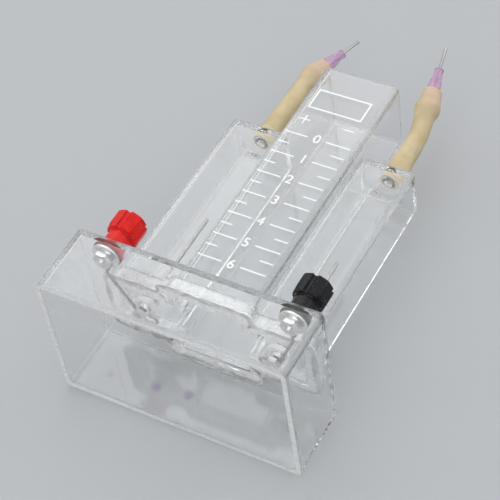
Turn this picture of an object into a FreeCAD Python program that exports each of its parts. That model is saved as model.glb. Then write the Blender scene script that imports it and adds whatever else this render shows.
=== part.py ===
import FreeCAD, Part
import math
import os

# A bench voltameter of clear moulded plastic: a box foot, an open square reservoir and two closed
# gas tubes with nozzles. Millimetres, +Z up, origin under the middle of the foot, scale on the -Y side.

# Box foot, open underneath
FOOT_WIDTH = 105.0
FOOT_DEPTH = 62.2
FOOT_HEIGHT = 30.4
FOOT_WALL = 2.1
PLATE_THICK = 2.2
FOOT_CORNER = 2.4
FOOT_TOP_ROUND = 0.9

# Reservoir, open at the top
RESERVOIR_WIDTH = 34.4
RESERVOIR_FRONT = -9.9
RESERVOIR_BACK = 24.8
RESERVOIR_TOP = 163.7
RESERVOIR_WALL = 2.0
RESERVOIR_CORNER = 3.0
RESERVOIR_LIP_ROUND = 0.9

# Gas tubes, closed at the top
TUBE_WIDTH = 24.5
TUBE_FRONT = -4.9
TUBE_BACK = 18.0
TUBE_TOP = 126.6
TUBE_WALL = 1.8
TUBE_ROOF = 3.0
TUBE_CORNER = 2.2
DOME_RADIUS = 8.2
DOME_RISE = 1.7
GAS_BORE_RADIUS = 1.8

# Nozzle on each gas tube
NOZZLE_ROOT_RADIUS = 3.37
NOZZLE_TIP_RADIUS = 3.0
NOZZLE_FILLET = 1.2
NOZZLE_CHAMFER = 0.5
NOZZLE_LENGTH = 12.0

# Tray that the vessels are cemented into
TRAY_FLOOR = 2.0
TRAY_RIM_WIDTH = 2.7
TRAY_RIM_HEIGHT = 7.1
TRAY_CORNER = 2.3
TRAY_END_CORNER = 4.0
TRAY_RIM_ROUND = 0.7

# Line of cement, or dry seat, between neighbouring clear pieces
SEAT_GAP = 0.05

# Arched passages between the reservoir and the gas tubes
PASSAGE_WIDTH = 16.0
PASSAGE_HEIGHT = 9.0
PASSAGE_ROUND = 4.0

# Binding posts
POST_SPREAD = 80.2
POST_SETBACK = 9.4
BUSH_FLANGE_RADIUS = 6.2
BUSH_FLANGE_THICK = 1.8
BUSH_SPIGOT_RADIUS = 3.8
STUD_RADIUS = 3.0
STUD_RISE = 13.2
STUD_SHANK_RADIUS = 2.0
STUD_END = 23.2
SOCKET_RADIUS = 2.05
SOCKET_DEPTH = 11.0
WIRE_HOLE_RADIUS = 0.8
THREAD_CLEARANCE = 0.08
INSERT_RADIUS = 4.2
INSERT_FIT = 0.03
INSERT_END_GAP = 0.1
INSERT_RECESS = 0.5
CAP_GAP = 0.3
CAP_SKIRT_RADIUS = 5.2
CAP_SKIRT_TOP_RADIUS = 4.9
CAP_SKIRT_HEIGHT = 6.1
CAP_HEAD_HEIGHT = 8.65
CAP_HEAD_FLATS = 12.9
CAP_HEAD_SIDES = 8
CAP_ROOF = 2.6
CAP_MOUTH_RADIUS = 3.35
CAP_CHAMFER = 0.7

# Fastenings of the posts under the plate
WASHER_RADIUS = 5.75
WASHER_THICK = 0.8
SHANK_HOLE_RADIUS = 2.1
TAG_RADIUS = 3.6
TAG_THICK = 0.5
TAG_REACH = 7.4
TAG_TONGUE_WIDTH = 2.8
TAG_EYE_RADIUS = 0.6
POST_NUT_FLATS = 7.0
POST_NUT_THICK = 2.6

# Electrodes and their seals
ELECTRODE_TOP = 79.8
ELECTRODE_RADIUS = 0.75
ELECTRODE_STEM_RADIUS = 1.5
ELECTRODE_STEM_TOP = 38.6
ELECTRODE_STEM_END = 24.0
GLAND_SPIGOT_RADIUS = 2.5
GLAND_FOOT_RADIUS = 2.8
GLAND_HEAD_RADIUS = 3.8
GLAND_HEIGHT = 5.2
ELECTRODE_NUT_FLATS = 5.5
ELECTRODE_NUT_THICK = 2.4

# Bare wire from each post to its electrode
WIRE_RADIUS = 0.6

# Latex sleeve and needle on each nozzle
SLEEVE_GAP = 1.6
SLEEVE_BORE = 2.5
SLEEVE_GRIP = 0.06
SLEEVE_STEP = 3.4
HUB_DEPTH = 10.0
HUB_LENGTH = 21.5
HUB_FLANGE_RADIUS = 4.2
HUB_FLANGE_THICK = 1.2
HUB_BODY_RADIUS = 3.0
HUB_SHOULDER_RADIUS = 2.6
HUB_SHOULDER = 15.5
HUB_NOSE_RADIUS = 2.25
HUB_TIP_RADIUS = 1.85
HUB_LIP = 0.8
HUB_CAVITY_RADIUS = 2.1
HUB_CAVITY_DEPTH = 9.0
HUB_RIB_COUNT = 4
HUB_RIB_THICK = 0.6
HUB_RIB_RADIUS = 3.3
NEEDLE_RADIUS = 0.635
NEEDLE_BORE_RADIUS = 0.42
NEEDLE_FREE_LENGTH = 12.7
NEEDLE_EMBEDDED = 8.0

# Outside of a sleeve as distance and radius: over the nozzle and slack, from its foot; then over the hub,
# from the hub's foot
SLEEVE_OVER_NOZZLE = ((0.0, 4.7), (9.4, 4.55), (14.5, 4.1), (24.0, 4.05))
SLEEVE_OVER_HUB = ((-5.0, 4.1), (1.0, 5.6), (5.0, 4.75), (10.0, 4.45))

# Each sleeve's length, and how it leans: where its bend starts and how long it is, its tilt and heading
LEFT_SLEEVE = {"length": 54.2, "bend_start": 37.2, "bend_length": 6.0, "tilt": 14.5, "heading": 56.2}
RIGHT_SLEEVE = {"length": 50.0, "bend_start": 18.0, "bend_length": 16.0, "tilt": 14.0, "heading": 224.7}

# Heights and places that follow from the sizes above
PLATE_UNDERSIDE = FOOT_HEIGHT - PLATE_THICK
TRAY_BOTTOM = FOOT_HEIGHT + SEAT_GAP
TRAY_TOP = TRAY_BOTTOM + TRAY_FLOOR
VESSEL_BOTTOM = TRAY_TOP + SEAT_GAP
RESERVOIR_SIDE = RESERVOIR_WIDTH / 2
TUBE_OUTSIDE = RESERVOIR_SIDE + TUBE_WIDTH
TUBE_X = RESERVOIR_SIDE + TUBE_WIDTH / 2
TUBE_Y = (TUBE_FRONT + TUBE_BACK) / 2
POST_X = POST_SPREAD / 2
POST_Y = POST_SETBACK - FOOT_DEPTH / 2
BUSH_TOP = FOOT_HEIGHT + BUSH_FLANGE_THICK
STUD_TOP = BUSH_TOP + STUD_RISE
CAP_BOTTOM = BUSH_TOP + CAP_GAP
CAP_STEP = CAP_BOTTOM + CAP_SKIRT_HEIGHT
CAP_TOP = CAP_STEP + CAP_HEAD_HEIGHT
WASHER_TOP = PLATE_UNDERSIDE - SEAT_GAP
WASHER_BOTTOM = WASHER_TOP - WASHER_THICK
TAG_BOTTOM = WASHER_BOTTOM - TAG_THICK
SLEEVE_FOOT = TUBE_TOP + SLEEVE_GAP
NOZZLE_TOP = TUBE_TOP + NOZZLE_LENGTH

TINY = 1e-6
PAST = 5.0
UP = FreeCAD.Vector(0, 0, 1)


def point(x, y, z):
    """A point or direction."""
    return FreeCAD.Vector(x, y, z)


def block(x_span, y_span, z_span, corner=0.0):
    """A box between low and high x, y and z, with its upright edges rounded."""
    low = point(x_span[0], y_span[0], z_span[0])
    box = Part.makeBox(x_span[1] - x_span[0], y_span[1] - y_span[0], z_span[1] - z_span[0], low)
    return round_upright_edges(box, corner) if corner else box


def round_upright_edges(solid, radius, beyond=None):
    """Round every edge of a solid that runs straight up, or only those farther out along x than a limit."""
    upright = []
    for edge in solid.Edges:
        low, high = edge.Vertexes[0].Point, edge.Vertexes[-1].Point
        runs_up = abs(high.x - low.x) < TINY and abs(high.y - low.y) < TINY and abs(high.z - low.z) > TINY
        if runs_up and (beyond is None or abs(low.x) > beyond):
            upright.append(edge)
    return solid.makeFillet(radius, upright)


def edges_at(solid, height):
    """The edges of a solid that lie flat at one height."""
    found = []
    for edge in solid.Edges:
        bounds = edge.BoundBox
        if abs(bounds.ZMin - height) < TINY and abs(bounds.ZMax - height) < TINY:
            found.append(edge)
    return found


def rod(radius, z_span, x=0.0, y=0.0):
    """An upright cylinder."""
    return Part.makeCylinder(radius, z_span[1] - z_span[0], point(x, y, z_span[0]))


def revolved(profile, arcs=None):
    """Turn a closed outline of (radius, height) points once round the z axis.

    The run that starts at a point whose index is in arcs is an arc through the point given there.
    """
    arcs = arcs or {}
    corners = [point(radius, 0, height) for radius, height in profile]
    edges = []
    for index, corner in enumerate(corners):
        following = corners[(index + 1) % len(corners)]
        if index in arcs:
            radius, height = arcs[index]
            edges.append(Part.Arc(corner, point(radius, 0, height), following).toShape())
        else:
            edges.append(Part.LineSegment(corner, following).toShape())
    return Part.Face(Part.Wire(edges)).revolve(point(0, 0, 0), UP, 360)


def moved(shape, x, y, z=0.0):
    """A copy of a shape, shifted."""
    copy = shape.copy()
    copy.translate(point(x, y, z))
    return copy


def regular_prism(sides, across_flats, z_span):
    """An upright prism with equal sides, one flat facing forwards."""
    corner_radius = across_flats / 2 / math.cos(math.pi / sides)
    corners = []
    for index in range(sides):
        angle = (index + 0.5) * 2 * math.pi / sides - math.pi / 2
        corners.append(point(corner_radius * math.cos(angle), corner_radius * math.sin(angle), z_span[0]))
    face = Part.Face(Part.makePolygon(corners + corners[:1]))
    return face.extrude(point(0, 0, z_span[1] - z_span[0]))


def hexagon_nut(across_flats, hole_radius, z_span):
    """A hexagon nut with its corners turned down at both faces."""
    prism = regular_prism(6, across_flats, z_span)
    corner_radius = across_flats / math.sqrt(3)
    face_radius = across_flats / 2 * 0.97
    turned = corner_radius - face_radius
    slope = turned * math.tan(math.radians(30))
    low, high = z_span
    blank = revolved([
        (0, low), (face_radius, low), (corner_radius, low + slope),
        (corner_radius, high - slope), (face_radius, high), (0, high),
    ])
    return prism.common(blank).cut(rod(hole_radius, (low - PAST, high + PAST)))


def passage():
    """The arched channel, cut along x, that joins the reservoir to both gas tubes."""
    half = PASSAGE_WIDTH / 2
    low = TRAY_TOP - PAST
    high = TRAY_TOP + PASSAGE_HEIGHT
    reach = RESERVOIR_SIDE + TUBE_WALL + 1.0
    slab = block((-reach, reach), (TUBE_Y - half, TUBE_Y + half), (low, high))
    shoulders = []
    for edge in slab.Edges:
        run = edge.Vertexes[-1].Point - edge.Vertexes[0].Point
        if abs(run.y) < TINY and abs(run.z) < TINY and edge.Vertexes[0].Point.z > high - TINY:
            shoulders.append(edge)
    return slab.makeFillet(PASSAGE_ROUND, shoulders)


def foot():
    """Box foot with its top plate, holes for the posts and electrodes, and a rounded top edge."""
    half_width = FOOT_WIDTH / 2
    half_depth = FOOT_DEPTH / 2
    shell = block((-half_width, half_width), (-half_depth, half_depth), (0, FOOT_HEIGHT), FOOT_CORNER)
    shell = shell.makeFillet(FOOT_TOP_ROUND, edges_at(shell, FOOT_HEIGHT))
    inner_x = half_width - FOOT_WALL
    inner_y = half_depth - FOOT_WALL
    hollow = block((-inner_x, inner_x), (-inner_y, inner_y), (-PAST, PLATE_UNDERSIDE), FOOT_CORNER / 2)
    shell = shell.cut(hollow)
    through = (PLATE_UNDERSIDE - PAST, FOOT_HEIGHT + PAST)
    for side in (-1, 1):
        shell = shell.cut(rod(BUSH_SPIGOT_RADIUS + SEAT_GAP, through, side * POST_X, POST_Y))
        shell = shell.cut(rod(GLAND_SPIGOT_RADIUS + SEAT_GAP, through, side * TUBE_X, TUBE_Y))
    return shell


def vessel_footprint(grow, z_span):
    """The outline of the reservoir and both gas tubes, grown sideways and raised into a solid."""
    wide = block(
        (-TUBE_OUTSIDE - grow, TUBE_OUTSIDE + grow), (TUBE_FRONT - grow, TUBE_BACK + grow), z_span)
    middle = block(
        (-RESERVOIR_SIDE - grow, RESERVOIR_SIDE + grow),
        (RESERVOIR_FRONT - grow, RESERVOIR_BACK + grow), z_span)
    return wide.fuse(middle).removeSplitter()


def tray():
    """Shallow tray on the plate: a clear floor and the rim that holds the feet of the vessels."""
    top = TRAY_BOTTOM + TRAY_RIM_HEIGHT
    body = vessel_footprint(TRAY_RIM_WIDTH, (TRAY_BOTTOM, top))
    body = round_upright_edges(body, TRAY_END_CORNER, TUBE_OUTSIDE)
    body = round_upright_edges(body, TRAY_CORNER)
    body = body.makeFillet(TRAY_RIM_ROUND, edges_at(body, top))
    body = body.cut(vessel_footprint(SEAT_GAP, (TRAY_TOP, top + PAST)))
    hole = GLAND_SPIGOT_RADIUS + SEAT_GAP
    for side in (-1, 1):
        body = body.cut(rod(hole, (TRAY_BOTTOM - PAST, top), side * TUBE_X, TUBE_Y))
    return body


def reservoir():
    """Square reservoir, open at both ends, with a rounded lip and an arched passage to each side."""
    outer = block(
        (-RESERVOIR_SIDE, RESERVOIR_SIDE), (RESERVOIR_FRONT, RESERVOIR_BACK),
        (VESSEL_BOTTOM, RESERVOIR_TOP), RESERVOIR_CORNER)
    outer = outer.makeFillet(RESERVOIR_LIP_ROUND, edges_at(outer, RESERVOIR_TOP))
    inner_x = RESERVOIR_SIDE - RESERVOIR_WALL
    well = block(
        (-inner_x, inner_x), (RESERVOIR_FRONT + RESERVOIR_WALL, RESERVOIR_BACK - RESERVOIR_WALL),
        (TRAY_TOP - PAST, RESERVOIR_TOP + PAST), RESERVOIR_CORNER / 2)
    return outer.cut(well).cut(passage())


def nozzle():
    """Tapered nozzle with a filleted root, turned round the z axis."""
    buried = TUBE_TOP - TUBE_ROOF / 2
    root = NOZZLE_ROOT_RADIUS + NOZZLE_FILLET
    share = 1 - math.sqrt(0.5)
    hollow_of_fillet = (NOZZLE_ROOT_RADIUS + NOZZLE_FILLET * share, TUBE_TOP + NOZZLE_FILLET * share)
    return revolved([
        (0, buried), (root, buried), (root, TUBE_TOP), (NOZZLE_ROOT_RADIUS, TUBE_TOP + NOZZLE_FILLET),
        (NOZZLE_TIP_RADIUS, NOZZLE_TOP - NOZZLE_CHAMFER), (NOZZLE_TIP_RADIUS - NOZZLE_CHAMFER, NOZZLE_TOP),
        (0, NOZZLE_TOP),
    ], {2: hollow_of_fillet})


def vent():
    """The space over a gas tube's hollow: a shallow dome in the roof and the bore of the nozzle."""
    roof = TUBE_TOP - TUBE_ROOF
    return revolved([
        (0, roof - PAST), (DOME_RADIUS, roof - PAST), (DOME_RADIUS, roof),
        (GAS_BORE_RADIUS, roof + DOME_RISE), (GAS_BORE_RADIUS, NOZZLE_TOP + PAST), (0, NOZZLE_TOP + PAST),
    ], {2: (DOME_RADIUS * 0.62, roof + DOME_RISE * 0.64)})


def gas_tube(side):
    """Closed rectangular tube at one side, -1 left and +1 right, with its nozzle and domed roof."""
    x_span = sorted((side * (RESERVOIR_SIDE + SEAT_GAP), side * TUBE_OUTSIDE))
    outer = block(x_span, (TUBE_FRONT, TUBE_BACK), (VESSEL_BOTTOM, TUBE_TOP), TUBE_CORNER)
    outer = outer.makeFillet(TUBE_CORNER * 0.7, edges_at(outer, TUBE_TOP))
    hollow = block(
        (x_span[0] + TUBE_WALL, x_span[1] - TUBE_WALL), (TUBE_FRONT + TUBE_WALL, TUBE_BACK - TUBE_WALL),
        (TRAY_TOP - PAST, TUBE_TOP - TUBE_ROOF), TUBE_CORNER / 2)
    shell = outer.fuse(moved(nozzle(), side * TUBE_X, TUBE_Y)).cut(hollow)
    return shell.cut(moved(vent(), side * TUBE_X, TUBE_Y)).cut(passage()).removeSplitter()


def post_bush(side):
    """Insulating bush: a flange on the plate and a spigot through it."""
    edge = 0.4
    turned = revolved([
        (SHANK_HOLE_RADIUS, PLATE_UNDERSIDE), (BUSH_SPIGOT_RADIUS, PLATE_UNDERSIDE),
        (BUSH_SPIGOT_RADIUS, FOOT_HEIGHT), (BUSH_FLANGE_RADIUS, FOOT_HEIGHT),
        (BUSH_FLANGE_RADIUS, BUSH_TOP - edge), (BUSH_FLANGE_RADIUS - edge, BUSH_TOP),
        (SHANK_HOLE_RADIUS, BUSH_TOP),
    ])
    return moved(turned, side * POST_X, POST_Y)


def post_stud(side):
    """Metal post with a plug socket in its head, a cross hole for wire and a shank through the plate."""
    chamfer = 0.4
    turned = revolved([
        (0, STUD_END), (STUD_SHANK_RADIUS - 0.9, STUD_END), (STUD_SHANK_RADIUS, STUD_END + 0.9),
        (STUD_SHANK_RADIUS, BUSH_TOP), (STUD_RADIUS, BUSH_TOP), (STUD_RADIUS, STUD_TOP - chamfer),
        (STUD_RADIUS - chamfer, STUD_TOP), (0, STUD_TOP),
    ])
    turned = turned.cut(rod(SOCKET_RADIUS, (STUD_TOP - SOCKET_DEPTH, STUD_TOP + PAST)))
    hole_height = BUSH_TOP + 1.0
    cross = Part.makeCylinder(
        WIRE_HOLE_RADIUS, 4 * STUD_RADIUS, point(-2 * STUD_RADIUS, 0, hole_height), point(1, 0, 0))
    return moved(turned.cut(cross), side * POST_X, POST_Y)


def cap_insert(side):
    """Threaded brass sleeve pressed into a screw cap; the thread is left plain."""
    low = CAP_BOTTOM + INSERT_RECESS
    high = CAP_TOP - CAP_ROOF - INSERT_END_GAP
    bore = STUD_RADIUS + THREAD_CLEARANCE
    turned = revolved([(bore, low), (INSERT_RADIUS, low), (INSERT_RADIUS, high), (bore, high)])
    return moved(turned, side * POST_X, POST_Y)


def knob_cap(side):
    """Screw cap: a flat-sided head on a round tapered skirt, bored for its insert and open at the top."""
    skirt = revolved([
        (0, CAP_BOTTOM), (CAP_SKIRT_RADIUS, CAP_BOTTOM), (CAP_SKIRT_TOP_RADIUS, CAP_STEP + 1.0),
        (0, CAP_STEP + 1.0),
    ])
    corner_radius = CAP_HEAD_FLATS / 2 / math.cos(math.pi / CAP_HEAD_SIDES)
    blank = revolved([
        (0, CAP_STEP), (corner_radius - CAP_CHAMFER / 2, CAP_STEP),
        (corner_radius, CAP_STEP + CAP_CHAMFER / 2), (corner_radius, CAP_TOP - CAP_CHAMFER),
        (corner_radius - CAP_CHAMFER * 1.5, CAP_TOP), (0, CAP_TOP),
    ])
    head = regular_prism(CAP_HEAD_SIDES, CAP_HEAD_FLATS, (CAP_STEP, CAP_TOP)).common(blank)
    body = head.fuse(skirt)
    body = body.cut(rod(INSERT_RADIUS + INSERT_FIT, (CAP_BOTTOM - PAST, CAP_TOP - CAP_ROOF)))
    mouth = revolved([
        (0, CAP_TOP - CAP_ROOF - PAST), (CAP_MOUTH_RADIUS, CAP_TOP - CAP_ROOF - PAST),
        (CAP_MOUTH_RADIUS, CAP_TOP - CAP_CHAMFER), (CAP_MOUTH_RADIUS + CAP_CHAMFER, CAP_TOP),
        (CAP_MOUTH_RADIUS + CAP_CHAMFER, CAP_TOP + PAST), (0, CAP_TOP + PAST),
    ])
    return moved(body.cut(mouth).removeSplitter(), side * POST_X, POST_Y)


def post_washers():
    """Metal washer under the plate at each post."""
    ring = rod(WASHER_RADIUS, (WASHER_BOTTOM, WASHER_TOP))
    ring = ring.cut(rod(SHANK_HOLE_RADIUS, (WASHER_BOTTOM - PAST, FOOT_HEIGHT)))
    return Part.makeCompound([moved(ring, side * POST_X, POST_Y) for side in (-1, 1)])


def post_nuts():
    """Hexagon nut under the tag at each post."""
    nut = hexagon_nut(POST_NUT_FLATS, STUD_SHANK_RADIUS, (TAG_BOTTOM - POST_NUT_THICK, TAG_BOTTOM))
    return Part.makeCompound([moved(nut, side * POST_X, POST_Y) for side in (-1, 1)])


def lead_tag(side):
    """Soldering tag: a ring under the washer with a tongue pointing back, pierced near its end."""
    z_span = (TAG_BOTTOM, WASHER_BOTTOM)
    half = TAG_TONGUE_WIDTH / 2
    tongue = block((-half, half), (0, TAG_REACH - half), z_span)
    tongue = tongue.fuse(rod(half, z_span, 0, TAG_REACH - half))
    plate = rod(TAG_RADIUS, z_span).fuse(tongue).removeSplitter()
    through = (TAG_BOTTOM - PAST, WASHER_BOTTOM + PAST)
    plate = plate.cut(rod(SHANK_HOLE_RADIUS, through))
    plate = plate.cut(rod(TAG_EYE_RADIUS, through, 0, TAG_REACH - half))
    return moved(plate, side * POST_X, POST_Y)


def rounded_route(corners):
    """Straight runs joined by tangent arcs, each as large as its two runs allow."""
    edges = []
    start = corners[0]
    for before, corner, after in zip(corners, corners[1:], corners[2:]):
        into = (corner - before).normalize()
        out = (after - corner).normalize()
        half_turn = into.getAngle(out) / 2
        reach = 0.45 * min((corner - before).Length, (after - corner).Length)
        radius = reach / math.tan(half_turn)
        arc_start = corner - into * reach
        arc_end = corner + out * reach
        inward = (out - into).normalize()
        arc_middle = corner + inward * (radius / math.cos(half_turn) - radius)
        edges.append(Part.LineSegment(start, arc_start).toShape())
        edges.append(Part.Arc(arc_start, arc_middle, arc_end).toShape())
        start = arc_end
    edges.append(Part.LineSegment(start, corners[-1]).toShape())
    return Part.Wire(edges)


def lead(side):
    """Bare wire from a tag, across under the plate and past the electrode's stem, ending in a curl."""
    tag_height = TAG_BOTTOM - WIRE_RADIUS
    plate_height = PLATE_UNDERSIDE - WIRE_RADIUS
    beside_stem = ELECTRODE_STEM_RADIUS + WIRE_RADIUS + 0.05
    post = point(side * POST_X, POST_Y, 0)
    stem = point(side * TUBE_X, TUBE_Y, 0)
    inwards = -side
    corners = [
        post + point(0, 4.9, tag_height),
        post + point(inwards * 0.2, 9.2, tag_height),
        stem + point(-inwards * (beside_stem + 0.8), -2.0, plate_height),
        stem + point(-inwards * (beside_stem - 1.0), 3.3, plate_height),
        stem + point(inwards * 3.2, 5.8, plate_height),
        stem + point(inwards * 6.8, 3.8, plate_height),
        stem + point(inwards * 6.5, 1.0, plate_height),
        stem + point(inwards * 3.4, 0.8, plate_height),
    ]
    route = rounded_route(corners)
    start_run = corners[1] - corners[0]
    ring = Part.Wire(Part.makeCircle(WIRE_RADIUS, corners[0], start_run))
    return route.makePipeShell([ring], True, False)


def electrode(side):
    """Upright metal rod on a thicker stem that passes down through the floor."""
    turned = revolved([
        (0, ELECTRODE_STEM_END), (ELECTRODE_STEM_RADIUS - 0.4, ELECTRODE_STEM_END),
        (ELECTRODE_STEM_RADIUS, ELECTRODE_STEM_END + 0.4),
        (ELECTRODE_STEM_RADIUS, ELECTRODE_STEM_TOP), (ELECTRODE_RADIUS, ELECTRODE_STEM_TOP + 0.6),
        (ELECTRODE_RADIUS, ELECTRODE_TOP - 0.5), (0.3, ELECTRODE_TOP), (0, ELECTRODE_TOP),
    ])
    return moved(turned, side * TUBE_X, TUBE_Y)


def electrode_glands():
    """Tapered bung round each electrode: a spigot through the floor and a cone on top of it."""
    cone_top = TRAY_TOP + GLAND_HEIGHT
    turned = revolved([
        (ELECTRODE_STEM_RADIUS, PLATE_UNDERSIDE), (GLAND_SPIGOT_RADIUS, PLATE_UNDERSIDE),
        (GLAND_SPIGOT_RADIUS, TRAY_TOP), (GLAND_FOOT_RADIUS, TRAY_TOP),
        (GLAND_HEAD_RADIUS, cone_top - 0.6), (GLAND_HEAD_RADIUS - 0.5, cone_top),
        (ELECTRODE_STEM_RADIUS, cone_top),
    ])
    return Part.makeCompound([moved(turned, side * TUBE_X, TUBE_Y) for side in (-1, 1)])


def electrode_nuts():
    """Small nut that clamps the wire against the plate on each electrode's stem."""
    high = PLATE_UNDERSIDE - 2 * WIRE_RADIUS
    nut = hexagon_nut(ELECTRODE_NUT_FLATS, ELECTRODE_STEM_RADIUS, (high - ELECTRODE_NUT_THICK, high))
    return Part.makeCompound([moved(nut, side * TUBE_X, TUBE_Y) for side in (-1, 1)])


def sleeve_shape(side):
    """The length and lean of the sleeve on one side."""
    return LEFT_SLEEVE if side < 0 else RIGHT_SLEEVE


def hub_foot(side):
    """How far above a sleeve's foot the foot of its needle hub sits."""
    return sleeve_shape(side)["length"] - HUB_DEPTH


def sleeve_place(side, distance):
    """Where a sleeve's centre line is, and which way it points, at a distance from its foot."""
    shape = sleeve_shape(side)
    start, length = shape["bend_start"], shape["bend_length"]
    heading = math.radians(shape["heading"])
    lean = point(math.cos(heading), math.sin(heading), 0)
    tilt = math.radians(shape["tilt"])
    radius = length / tilt
    turned = tilt * min(max(distance - start, 0) / length, 1)
    beyond = max(distance - start - length, 0)
    along = UP * math.cos(turned) + lean * math.sin(turned)
    foot_point = point(side * TUBE_X, TUBE_Y, SLEEVE_FOOT)
    place = foot_point + UP * min(distance, start)
    place = place + UP * (radius * math.sin(turned)) + lean * (radius * (1 - math.cos(turned)))
    return place + along * beyond, along


def ring_wire(place, along, radius):
    """A circle of three arcs, square to a direction, whose seams line up from ring to ring."""
    across = (point(1, 0, 0) - along * along.x).normalize()
    other = along.cross(across)
    spots = []
    for index in range(7):
        angle = index * math.pi / 3
        spots.append(place + across * (radius * math.cos(angle)) + other * (radius * math.sin(angle)))
    arcs = [Part.Arc(spots[start], spots[start + 1], spots[start + 2]).toShape() for start in (0, 2, 4)]
    return Part.Wire(arcs)


def eased(outline, distance):
    """The radius of an outline of (distance, radius) at a distance, eased from one value to the next."""
    for (low, first), (high, second) in zip(outline, outline[1:]):
        if distance <= high:
            share = max(distance - low, 0) / (high - low)
            return first + (second - first) * (1 - math.cos(math.pi * share)) / 2
    return outline[-1][1]


def steps(low, high):
    """Distances along a sleeve from low to high, evenly spaced and both included."""
    count = math.ceil((high - low) / SLEEVE_STEP)
    return [low + (high - low) * index / count for index in range(count + 1)]


def sleeve_form(side, stations):
    """A closed form along a sleeve's centre line through rings of (distance, radius)."""
    rings = []
    for distance, radius in stations:
        place, along = sleeve_place(side, distance)
        rings.append(ring_wire(place, along, radius))
    return Part.makeLoft(rings, True, True)


def sleeve(side):
    """Latex sleeve, stretched over the nozzle below and over the needle hub's flange above."""
    length = sleeve_shape(side)["length"]
    hub = hub_foot(side)
    nozzle_end = NOZZLE_TOP - SLEEVE_FOOT
    over_flange = HUB_FLANGE_RADIUS + SLEEVE_GRIP
    over_body = HUB_BODY_RADIUS + SLEEVE_GRIP
    outline = SLEEVE_OVER_NOZZLE + tuple((hub + distance, radius) for distance, radius in SLEEVE_OVER_HUB)
    outside = [(distance, eased(outline, distance)) for distance in steps(0, length)]
    slack = [(distance, SLEEVE_BORE) for distance in steps(nozzle_end + 2.5, hub - 2.5)]
    inner = sleeve_form(side, [
        (-PAST, NOZZLE_ROOT_RADIUS + SLEEVE_GRIP), (0, NOZZLE_ROOT_RADIUS + SLEEVE_GRIP),
        (nozzle_end + 0.2, NOZZLE_TIP_RADIUS + SLEEVE_GRIP), *slack, (hub - 0.2, over_flange),
        (hub + HUB_FLANGE_THICK + 0.2, over_flange), (hub + HUB_FLANGE_THICK + 1.8, over_body),
        (length + PAST, over_body),
    ])
    return sleeve_form(side, outside).cut(inner)


def set_on_sleeve(shape, side):
    """Place a shape, built upright from the hub's foot, at its place in the sleeve."""
    place, along = sleeve_place(side, hub_foot(side))
    copy = shape.copy()
    copy.Placement = FreeCAD.Placement(place, FreeCAD.Rotation(UP, along))
    return copy


def needle_hub(side):
    """Needle hub: flanged foot, taper socket, ribbed body and a slim nose with a lip."""
    lip_low = HUB_LENGTH - HUB_LIP
    body = revolved([
        (0, 0), (HUB_FLANGE_RADIUS, 0), (HUB_FLANGE_RADIUS, HUB_FLANGE_THICK),
        (HUB_BODY_RADIUS, HUB_FLANGE_THICK), (HUB_BODY_RADIUS, HUB_DEPTH),
        (HUB_SHOULDER_RADIUS, HUB_SHOULDER), (HUB_NOSE_RADIUS, HUB_SHOULDER + 0.6),
        (HUB_TIP_RADIUS, lip_low), (HUB_TIP_RADIUS + 0.2, lip_low + 0.2),
        (HUB_TIP_RADIUS + 0.2, HUB_LENGTH - 0.2), (HUB_TIP_RADIUS, HUB_LENGTH), (0, HUB_LENGTH),
    ])
    rib_low = HUB_DEPTH + 0.6
    half = HUB_RIB_THICK / 2
    rib = Part.Face(Part.makePolygon([
        point(0, -half, rib_low), point(HUB_RIB_RADIUS, -half, rib_low),
        point(HUB_SHOULDER_RADIUS, -half, HUB_SHOULDER), point(HUB_NOSE_RADIUS, -half, HUB_SHOULDER + 0.6),
        point(0, -half, HUB_SHOULDER + 0.6), point(0, -half, rib_low),
    ])).extrude(point(0, HUB_RIB_THICK, 0))
    for index in range(HUB_RIB_COUNT):
        turned = rib.copy()
        turned.rotate(point(0, 0, 0), UP, 45 + index * 360 / HUB_RIB_COUNT)
        body = body.fuse(turned)
    cavity = revolved([
        (0, -PAST), (HUB_CAVITY_RADIUS, -PAST), (HUB_CAVITY_RADIUS, 0),
        (HUB_CAVITY_RADIUS * 0.94, HUB_CAVITY_DEPTH), (0, HUB_CAVITY_DEPTH),
    ])
    body = body.cut(cavity).cut(rod(NEEDLE_RADIUS, (0, HUB_LENGTH + PAST)))
    return set_on_sleeve(body.removeSplitter(), side)


def needle(side):
    """Blunt steel needle, a plain tube held in the hub's nose."""
    z_span = (HUB_LENGTH - NEEDLE_EMBEDDED, HUB_LENGTH + NEEDLE_FREE_LENGTH)
    tube = rod(NEEDLE_RADIUS, z_span).cut(rod(NEEDLE_BORE_RADIUS, (z_span[0] - PAST, z_span[1] + PAST)))
    return set_on_sleeve(tube, side)


def build():
    """Every piece by its node name."""
    pieces = {
        "base_shell": foot(),
        "socket_tray": tray(),
        "reservoir": reservoir(),
        "post_washers": post_washers(),
        "post_nuts": post_nuts(),
        "electrode_glands": electrode_glands(),
        "electrode_nuts": electrode_nuts(),
    }
    for side, hand, colour in ((-1, "left", "red"), (1, "right", "black")):
        pieces["gas_tube_" + hand] = gas_tube(side)
        pieces["post_bush_" + colour] = post_bush(side)
        pieces["post_stud_" + colour] = post_stud(side)
        pieces["cap_insert_" + colour] = cap_insert(side)
        pieces["knob_cap_" + colour] = knob_cap(side)
        pieces["lead_tag_" + hand] = lead_tag(side)
        pieces["lead_" + hand] = lead(side)
        pieces["electrode_" + hand] = electrode(side)
        pieces["sleeve_" + hand] = sleeve(side)
        pieces["needle_hub_" + hand] = needle_hub(side)
        pieces["needle_" + hand] = needle(side)
    return pieces


os.makedirs("parts", exist_ok=True)
for name, shape in build().items():
    shape.exportStep("parts/" + name + ".step")
    print(name, "%.0f mm3, %d solids, valid %s" % (shape.Volume, len(shape.Solids), shape.isValid()))
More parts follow.
